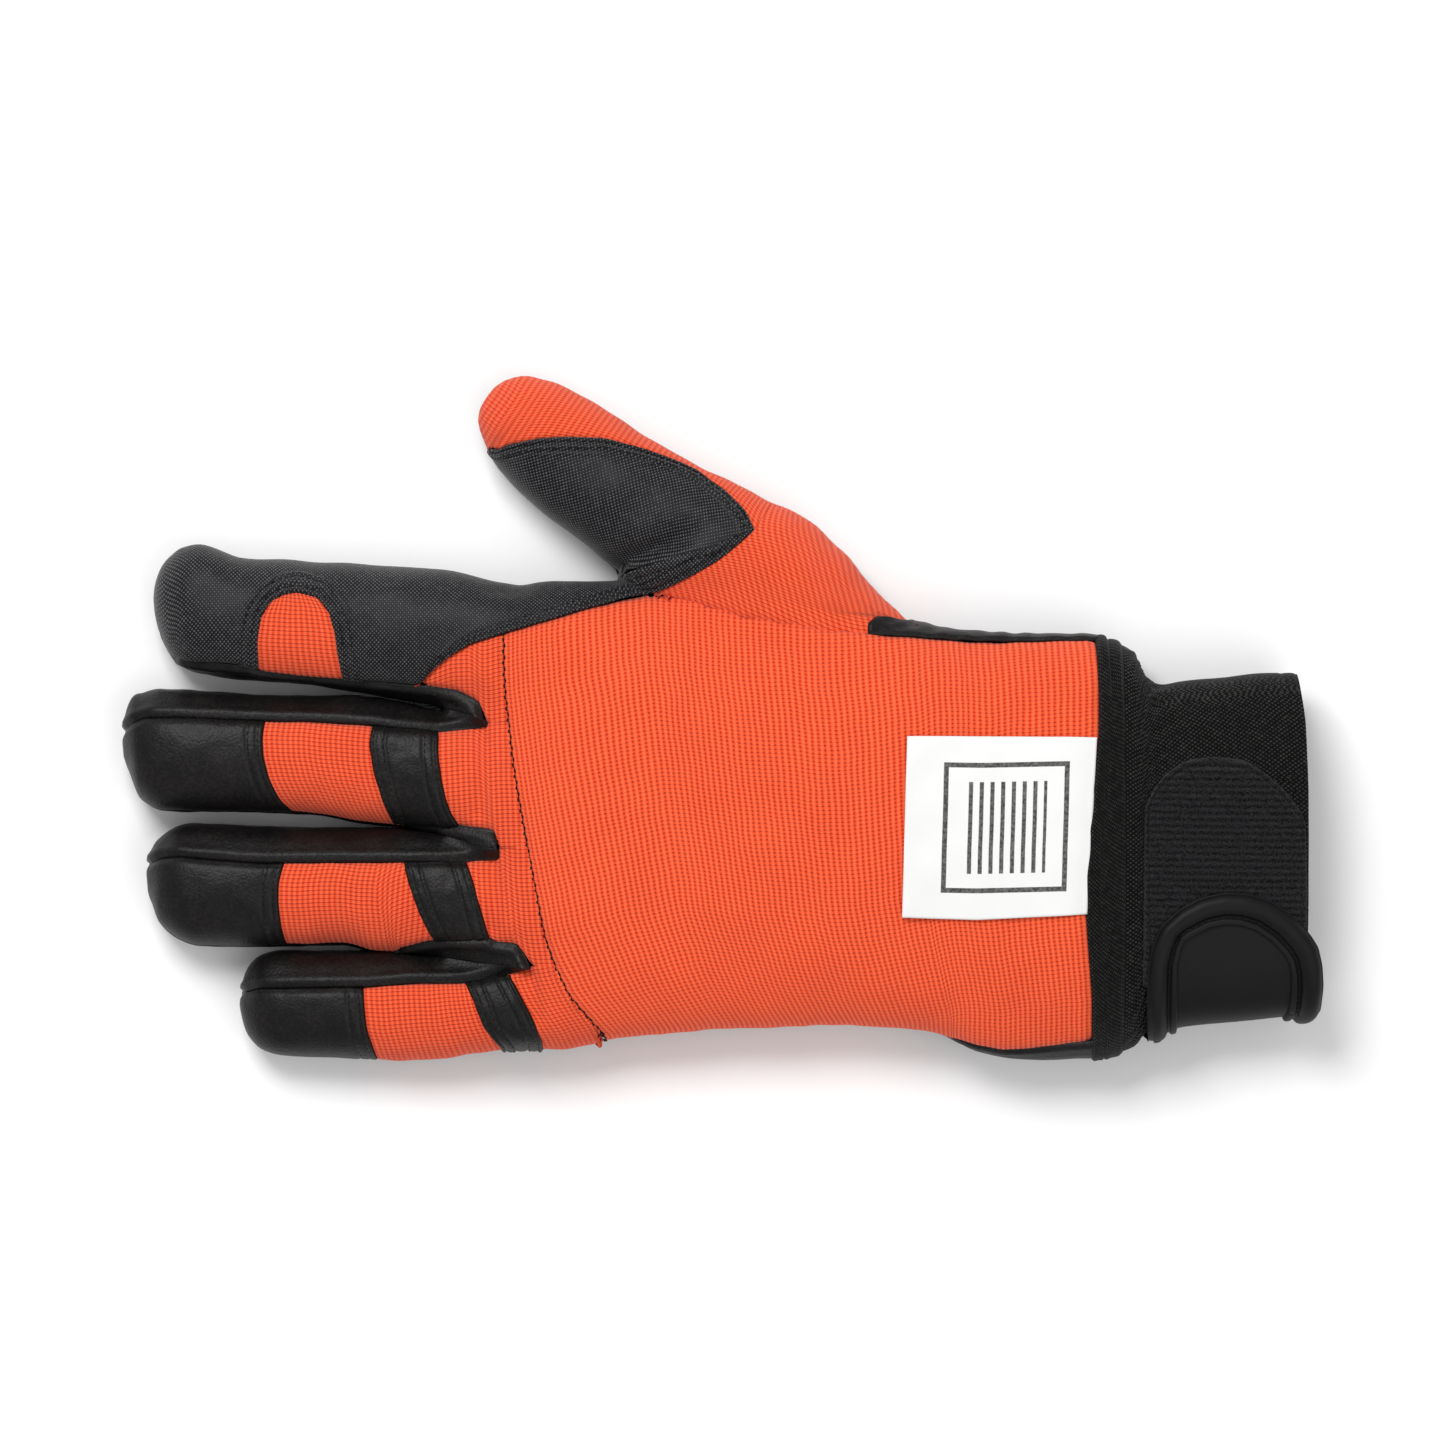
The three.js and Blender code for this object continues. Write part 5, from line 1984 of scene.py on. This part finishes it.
@dataclass
class ThumbCover:
    """The thumb: its orange back in two panels, the nylon patch towards the index finger, and its
    leather underside, which meets the rest at a level in mm above the floor."""

    glove: Glove
    level: float = 5.5

    def build(self) -> None:
        """Builds the thumb's pieces."""
        skin, finishes = self.glove.skins.thumb, self.glove.finishes
        tip = between(
            skin,
            join(skin.at_level(self.level, Side.LITTLE, -5, 24), skin.plan(PATCH_EDGE)),
            skin.at_level(self.level, Side.THUMB, -5, 293),
            (330, 60),
            ribs=46,
        )
        turn = skin.plan(COVER_EDGE[8:])
        high = skin.at_level(self.level, Side.THUMB, 293, 488)
        mound = cut(
            skin,
            skin.plan([(x, y + 1.3) for x, y in THUMB_SEAM]),
            high,
            join(turn, high[:1]),
            join(skin.plan(STRIP_START), high[-1:]),
            (260, 80),
            ribs=40,
        )
        panels = []
        for panel in (tip, mound):
            thumb_ribs(panel)
            relief = ridge(panel, 0.07) + 0.2 * panel.uneven(12, 6)
            relief += valley(panel.start_v, 0.4, 1.0) + valley(panel.end_v, 0.4, 1.0)
            panels.append(panel.lift(relief))
        put("thumb_back_cloth", panels, finishes.checked, ["thumb_back"], 1.2)

        low = join(skin.at_level(self.level, Side.LITTLE, 25, 204), skin.plan(CROTCH_SEAM))
        patch = between(skin, low, skin.plan(PATCH_EDGE), (220, 84))
        patch.straighten(skin.tube, "v1")
        relief = 0.55 * (1 - step(patch.end_v, *HEM_END)) * (1 - bell(patch.end_v, 0.3)) + 0.05
        for inset in HEM_ROWS:
            relief += valley(patch.end_v - inset, 0.7, 0.42)
        relief += 0.2 * patch.uneven(12, 7)
        for where, width, depth in PATCH_DENTS:
            off = patch.points[..., :2] - place([where])[0]
            turned = np.stack([off @ np.array([0.9, 0.44]), off @ np.array([-0.44, 0.9])], -1)
            held = 1 - bell(patch.start_v, 1.6)
            dent = np.exp(-((turned[..., 0] / width[0]) ** 2) - (turned[..., 1] / width[1]) ** 2)
            relief -= depth * dent * held
        patch.lift(relief)
        for inset in HEM_ROWS:
            self.glove.seams.sew(kept(patch.line("v1", inset, 240), 500, 748))
        put("thumb_patch_cloth", [patch], finishes.nylon, ["thumb_patch"], 1.0)

        bottom = math.pi * skin.turn
        outer = skin.at_level(self.level, Side.THUMB, -5, 488)
        inner = join(skin.at_level(self.level, Side.LITTLE, -5, 196), skin.plan(THUMB_PALM, Side.LITTLE))
        halves = [
            between(skin, outer, facing(outer, bottom), (120, 14)),
            between(skin, facing(inner, -bottom), inner, (120, 14)),
        ]
        panels = [
            panel.lift(valley(panel.start_v if k == 0 else panel.end_v, 0.4, 0.9) + 0.1)
            for k, panel in enumerate(halves)
        ]
        put("thumb_palm_leather", panels, finishes.leather, ["thumb_palm"])


@dataclass
class Hand:
    """The orange back of the hand and the leather palm with the finger fronts, whose edge shows beside
    the wrist. They meet at a level in mm above the floor."""

    glove: Glove
    level: float = 5.5

    def back(self) -> None:
        """Builds the back: ribs run across the hand between the knuckle line and the cuff seam."""
        skin = self.glove.skins.hand
        low = join(
            skin.at_level(self.level, Side.LITTLE, 606, 868), *self.rise(skin), skin.plan(BULGE_EDGE)
        )
        under = [(x, y - 1.3) for x, y in (*COVER_EDGE[5:9], *THUMB_SEAM[1:-1])]
        high = skin.plan([COVER_EDGE[4], *under, *STRIP_EDGE])
        first = join(low[:1], skin.plan(KNUCKLE[::-1]))
        panel = cut(skin, low, high, first, skin.plan(CUFF_SEAM[::-1]), (610, 76), ribs=98)
        x, y = panel.points[..., 0], panel.points[..., 1]
        relief = ridge(panel, 0.08) + valley(panel.end_v, 0.4, 1.0) + valley(panel.start_v, 0.3, 1.0)
        relief += valley(panel.start_u, 0.5, 1.0) + valley(panel.end_u, 0.6, 1.3)
        relief += 0.3 * waves(x, y, 26, 8) + 0.1 * waves(x, y * 0.4, 7, 9)
        panel.lift(relief)
        self.glove.knuckle_thread.sew(panel.line("u0", 0.05, 500), -0.2, 0.2)
        put("hand_back_cloth", [panel], self.glove.finishes.orange, ["hand_back"], 1.2)

    def rise(self, skin: Skin) -> list[Array]:
        """Gives the places where the palm's seam climbs from its level to the back of the wrist, from
        rows of px along and mm above the floor."""
        climb = ((893, 6.5), (910, 8.0), (925, 9.5), (938, 11.2))
        return [skin.at_level(high, Side.LITTLE, px, px + 2)[:1] for px, high in climb]

    def palm(self) -> None:
        """Builds the palm and the fronts of the fingers, two panels to each, that meet below."""
        panels = []
        skins = self.glove.skins
        for skin, tip in skins.tipped():
            bottom = math.pi * skin.turn
            outer = skin.at_level(self.level, Side.THUMB, tip, 480)
            inner = skin.at_level(self.level, Side.LITTLE, tip, 480)
            halves = ((outer, facing(outer, bottom)), (facing(inner, -bottom), inner))
            for k, (low, high) in enumerate(halves):
                panel = between(skin, low, high, (80, 12))
                panels.append(panel.lift(valley(panel.start_v if k == 0 else panel.end_v, 0.4, 0.9) + 0.1))
        skin = skins.hand
        outer = join(
            skin.at_level(self.level, Side.THUMB, 480, 604),
            skin.plan(THUMB_PALM, Side.THUMB),
            skin.at_level(self.level, Side.THUMB, 880, 1098),
        )
        inner = join(
            skin.at_level(self.level, Side.LITTLE, 480, 868),
            *self.rise(skin),
            skin.plan([*BULGE_EDGE, (1098, 1040)]),
        )
        bottom = math.pi * skin.turn
        for k, edge in enumerate((spaced(outer, 200), spaced(inner, 200))):
            width = np.interp(edge[:, 0], skin.along, skin.width)
            middle = np.stack([edge[:, 0], bottom + width * 1.5 if k == 0 else -bottom - width * 0.5], 1)
            low, high = (edge, middle) if k == 0 else (middle, edge)
            panel = between(skin, low, high, (200, 44))
            away = panel.start_v if k == 0 else panel.end_v
            relief = 0.15 + valley(away, 0.5, 0.8) + 0.2 * panel.uneven(15, 10)
            wrist = panel.points[..., 0] > along_at(900)
            relief += np.where(wrist, 0.35 * bell(away - 1.0, 0.7), 0)
            relief += np.where(wrist & (k == 1), valley(away - 3.0, 0.35, 0.35), 0)
            panels.append(panel.lift(relief))
        panels += [self.strip(), *self.tips()]
        put("palm_leather", panels, self.glove.finishes.leather, ["palm_panel"], 1.2)

    def tips(self) -> list[Panel]:
        """Closes the tips of the fingers and the thumb.

        Returns:
            A closed ring for each, 0.3 mm under the pieces that meet there.
        """
        skins = self.glove.skins
        panels = []
        for skin, px in [*skins.tipped(), (skins.thumb, -5)]:
            end = max(along_at(px + 4), skin.along[0] + 1.2)
            along = np.linspace(skin.along[0], end, 10)[:, None]
            width = np.interp(along, skin.along, skin.width)
            bottom = math.pi * skin.turn
            q = -bottom - width / 2 + np.linspace(0, 1, 41)[None] * (2 * bottom + 2 * width)
            panel = Panel(skin.read(along + 0 * q, q))
            panels.append(panel.lift(-0.3 + 0 * panel.start_u))
        return panels

    def strip(self) -> Panel:
        """Builds the palm's edge beside the wrist.

        Returns:
            Its panel, whose rounded start lies over the thumb's mound.
        """
        skin = self.glove.skins.hand
        top = skin.plan([(x, y - 1.5) for x, y in STRIP_START[2:5]])
        high = join(top, skin.at_level(self.level, Side.THUMB, 922, 1098))
        low = skin.plan([(867, 634.8), *((x, y + 1.6) for x, y in STRIP_EDGE[1:]), (1098, 641)])
        first = join(low[:1], skin.plan([(866.5, 625)]), top[:1])
        panel = between(skin, low, high, (220, 30), first=first)
        away = np.minimum(panel.start_v, panel.start_u)
        away = np.where(panel.points[..., 0] < along_at(915), np.minimum(away, panel.end_v), away)
        relief = 0.75 * (1 - bell(away, 0.4)) + 0.1
        relief += 0.15 * waves(panel.points[..., 0], panel.points[..., 1] * 2, 5, 17)
        return panel.lift(relief)

    def build(self) -> None:
        """Builds the hand's pieces."""
        self.back()
        self.palm()


@dataclass
class Wrist:
    """The elastic cuff with its binding, the loop patch, and the rubber tab that closes on it."""

    glove: Glove

    def sleeve(self, first: Array | float, last: Array | float, size: tuple[int, int]) -> Panel:
        """Cuts a closed ring of the surface round the wrist.

        Args:
            first: rows of along and q for the edge towards the hand, or one place in px.
            last: the same for the edge towards the mouth.
            size: points along and round.

        Returns:
            The panel, whose sides meet under the wrist.
        """
        skin = self.glove.skins.hand
        v = np.linspace(0, 1, size[1])
        bottom = math.pi * skin.turn

        def along(edge: Array | float) -> Array:
            """Spreads an edge round the sleeve.

            Args:
                edge: its rows of along and q, or its one place in px.

            Returns:
                The place along for each v.
            """
            if isinstance(edge, float):
                return np.full(size[1], along_at(edge))
            edge = edge[np.argsort(edge[:, 1])]
            width = np.interp(edge[:, 0], skin.along, skin.width)
            share = (edge[:, 1] + bottom + width / 2) / (2 * bottom + 2 * width)
            return np.interp(v, share, edge[:, 0])

        u = np.linspace(0, 1, size[0])[:, None]
        place_along = along(first)[None] * (1 - u) + along(last)[None] * u
        width = np.interp(place_along, skin.along, skin.width)
        q = -bottom - width / 2 + v[None] * (2 * bottom + 2 * width)
        return Panel(skin.read(place_along, q))

    def cuff(self) -> None:
        """Builds the binding over the cuff seam and the gathered elastic cuff, open at its mouth."""
        skin, finishes = self.glove.skins.hand, self.glove.finishes
        binding = self.sleeve(skin.plan(CUFF_SEAM), 1122.0, (44, 260))
        relief = 0.75 * (1 - bell(binding.start_u, 0.5)) + 0.1
        relief += valley(binding.end_u, 0.7, 0.6) + valley(binding.start_u - 2.9, 0.4, 0.35)
        relief += 0.18 * waves(binding.points[..., 0] * 2, binding.points[..., 1] * 0.6, 6, 11)
        binding.straighten(skin.tube, "v0")
        binding.lift(relief)
        put("binding_tape", [binding], finishes.tape, ["cuff_binding"], 1.4)

        mouth = skin.plan([(1297, 676), (1302, 720), (1304, 790), (1304, 900), (1303, 1000)])
        cuff = self.sleeve(1116.0, mouth, (120, 250))
        x, y = cuff.points[..., 0], cuff.points[..., 1]
        waist = bell(x - along_at(1146), 3.4)
        round_ = cuff.start_v
        relief = 0.1 + 0.45 * waist * np.sin(round_ * 1.25 + 1.5 * np.sin(round_ * 0.23)) - 0.5 * waist
        relief += 0.25 * waves(x, y, 17, 12) + valley(cuff.start_u, 0.5, 0.8)
        relief += valley(cuff.end_u, 0.4, 0.7) - 0.15 * bell(cuff.end_u - 3.5, 0.5)
        cuff.lift(relief)
        put("cuff_knit", [cuff], finishes.knit, ["wrist_cuff"], 1.6, True)

    def patch(self) -> None:
        """Builds the loop patch, sewn down a little inside its edge."""
        skin = self.glove.skins.hand
        arch = [
            (1141, 808), (1149, 790), (1159, 776), (1170, 767.6), (1185, 759), (1212, 756.5), (1235, 759),
            (1249, 763), (1266, 776), (1280, 789), (1294, 807), (1301, 822),
        ]
        panel = cut(
            skin,
            skin.plan([(1140, 985), (1220, 985), (1303, 985)]),
            skin.plan(arch),
            skin.plan([(1140, 985), (1140, 900), (1141, 808)]),
            skin.plan([(1303, 985), (1303, 900), (1301, 822)]),
            (110, 140),
        )
        panel.straighten(skin.tube, "v0")
        edge = np.minimum(np.minimum(panel.start_u, panel.end_u), panel.end_v)
        relief = 0.95 * (1 - bell(edge, 0.45)) + valley(edge - 1.9, 0.4, 0.45)
        relief += 0.06 * np.cos(2 * math.pi * (panel.start_v - panel.start_v[:, -1:] / 2) / 1.5)
        relief += 0.14 * panel.uneven(2.2, 13)
        panel.lift(relief)
        for side in ("v1", "u0", "u1"):
            self.glove.seams.sew(panel.line(side, 1.9, 200))
        put("loop_pile", [panel], self.glove.finishes.loop, ["loop_patch"], 0.8)

    def tab(self) -> None:
        """Builds the tab: a smooth panel that runs on round the wrist as its strap, and a rolled rim with
        a lip inside it. The rim is a profile of two rounds, one for the roll and one for the lip, carried
        along the tab's outline."""
        skin, finishes = self.glove.skins.hand, self.glove.finishes
        arch = [
            (1142, 990), (1142.5, 970), (1148, 944), (1157, 924), (1176, 907), (1197, 896), (1220, 891),
            (1243, 892), (1266, 899), (1287.5, 913.5), (1304, 930), (1313.5, 944), (1318, 962.5),
            (1319.6, 982),
        ]
        left = skin.at_level(9.0, Side.LITTLE, 1143, 1145)[:1]
        right = skin.at_level(12.0, Side.LITTLE, 1310, 1312)[-1:]
        outline = join(left, skin.plan([(1141.5, 1018), *arch, (1318, 1004)]), right)
        outline = spaced(outline, 260)
        ahead = np.gradient(outline, axis=0)
        inward = _unit(np.stack([ahead[:, 1], -ahead[:, 0]], 1))
        across = np.linspace(0, 7.3, 44)
        shape = outline[:, None] + inward[:, None] * across[None, :, None]
        rim = Panel(skin.read(shape[..., 0], shape[..., 1])[:, ::-1])
        a = across[::-1][None]
        roll = 3.0 * np.sqrt(np.clip(1 - np.abs((a - 2.6) / 2.65) ** 2.4, 0, 1))
        lip = 2.1 * np.sqrt(np.clip(1 - ((a - 6.3) / 0.95) ** 4, 0, 1))
        height = np.maximum(np.maximum(roll, lip), 1.35 * (a < 7.1))
        ends = 1 - bell(np.minimum(rim.start_u, rim.end_u), 0.5)
        rim.lift(height * ends + 0.2)
        put("tab_rim", [rim], finishes.rubber, ["tab_binding"], 0.0)
        self.glove.seams.sew(self._groove(skin, outline, inward))

        bottom = math.pi * skin.turn
        under = np.array([[along_at(x), -bottom - 17.0] for x in (1164, 1222, 1279)])
        first = join(
            under[:1],
            skin.at_level(3.6, Side.LITTLE, 1164, 1165)[:1],
            left + [0.9, 0],
            skin.plan([(1149, 985)]),
        )
        last = join(
            under[-1:],
            skin.at_level(3.6, Side.LITTLE, 1279, 1280)[:1],
            right - [1.0, 0],
            skin.plan([(1310, 985)]),
        )
        top = skin.plan([
            (1149, 985), (1152, 962), (1163, 934), (1180, 916), (1200, 905), (1220, 900), (1243, 901),
            (1262, 908), (1281, 922), (1299, 941), (1308, 962), (1310, 985),
        ])
        panel = cut(skin, under, top, first, last, (90, 150))
        panel.lift(1.25 + 0.12 * panel.uneven(20, 14))
        put("tab_rubber", [panel], finishes.rubber, ["closure_tab"], 1.1)

    def _groove(self, skin: Skin, outline: Array, inward: Array) -> tuple[Array, Array]:
        """Gives the sewn line between the tab's roll and its lip.

        Args:
            skin: the hand's surface.
            outline: the tab's outline in along and q.
            inward: unit vectors into the tab.

        Returns:
            The line's points, and the directions out of the rubber.
        """
        at = outline + inward * 5.3
        line = skin.read(at[:, 0], at[:, 1])
        _, ray = skin.rays(at[:, 0], at[:, 1])
        return line + ray * 1.75, ray

    def label(self) -> None:
        """Builds the sewn label, which lies on the back and is caught in the cuff's seam."""
        skin = self.glove.skins.hand
        low = skin.plan([(900.4, 915.3), (940, 917), (976, 918), (1030, 915.5), (1084, 912.8)])
        high = skin.plan([(905.3, 736.8), (1000, 737.2), (1094, 737.7)])
        panel = between(skin, low, high, (90, 84))
        edge = np.minimum(panel.start_v, panel.end_v)
        loose = np.exp(-panel.start_u / 9) * 0.7 + np.exp(-edge / 5) * 0.25
        relief = 0.75 + loose * (0.6 + 0.5 * panel.uneven(15, 15))
        relief += 0.1 * panel.uneven(11, 16)
        relief -= 0.55 * bell(panel.end_u, 2.5)
        panel.lift(relief)
        thing = put("label_satin", [panel], self.glove.finishes.satin, ["label"], 0.3, True)

    def build(self) -> None:
        """Builds the wrist's pieces and the label."""
        self.cuff()
        self.patch()
        self.tab()
        self.label()


@dataclass
class Studio:
    """A pale floor, soft lights and a camera straight above.

    Attributes:
        distance: metres from the camera to the back of the hand.
        frame: metres across the picture at that place.
    """

    distance: float = 1.6
    frame: float = 0.324

    def build(self) -> None:
        """Builds the floor, the lights and the camera."""
        scene = bpy.context.scene
        scene.view_settings.view_transform = "Standard"
        room = bpy.data.worlds.new("room")
        scene.world = room
        room.use_nodes = True
        room.node_tree.nodes["Background"].inputs["Color"].default_value = (1.0, 1.0, 1.0, 1.0)
        room.node_tree.nodes["Background"].inputs["Strength"].default_value = 0.5
        mesh = bpy.data.meshes.new("floor")
        side = 3.0
        corners = [(-side, -side, 0), (side, -side, 0), (side, side, 0), (-side, side, 0)]
        mesh.from_pydata(corners, [], [(0, 1, 2, 3)])
        g = Graph("floor")
        shade = g.mix(g.noise(4, 3), linear(246, 246, 246), linear(250, 250, 250))
        g.surface(shade, 0.9, 0.1)
        mesh.materials.append(g.material)
        floor = bpy.data.objects.new("floor", mesh)
        scene.collection.objects.link(floor)
        for name, where, size, power in (
            ("key", (-0.3, 0.6, 1.0), 0.5, 10.5),
            ("fill", (0.5, -0.5, 1.0), 0.9, 3.5),
        ):
            light = bpy.data.lights.new(name, "AREA")
            light.shape, light.size, light.energy = "SQUARE", size, power
            lamp = bpy.data.objects.new(name, light)
            lamp.location = where
            direction = -np.array(where)
            lamp.rotation_euler = Vector(direction.tolist()).to_track_quat("-Z", "Y").to_euler()
            scene.collection.objects.link(lamp)
        eye = bpy.data.cameras.new("camera")
        eye.sensor_width = 36.0
        eye.lens = 36.0 * self.distance / self.frame
        camera = bpy.data.objects.new("camera", eye)
        camera.location = (0.0, 0.0, self.distance + 0.015)
        scene.collection.objects.link(camera)
        scene.camera = camera


def main() -> None:
    """Builds the glove's sub-assemblies in order, then the studio."""
    glove = Glove()
    Hand(glove).build()
    Fingers(glove).build()
    ThumbCover(glove).build()
    Wrist(glove).build()
    glove.seams.finish("stitches", glove.finishes.thread, "black_tape")
    glove.knuckle_thread.finish("knuckle_stitches", glove.finishes.thread, "black_tape")
    Studio().build()


if __name__ == "__main__":
    logging.basicConfig(level=logging.INFO)
    main()
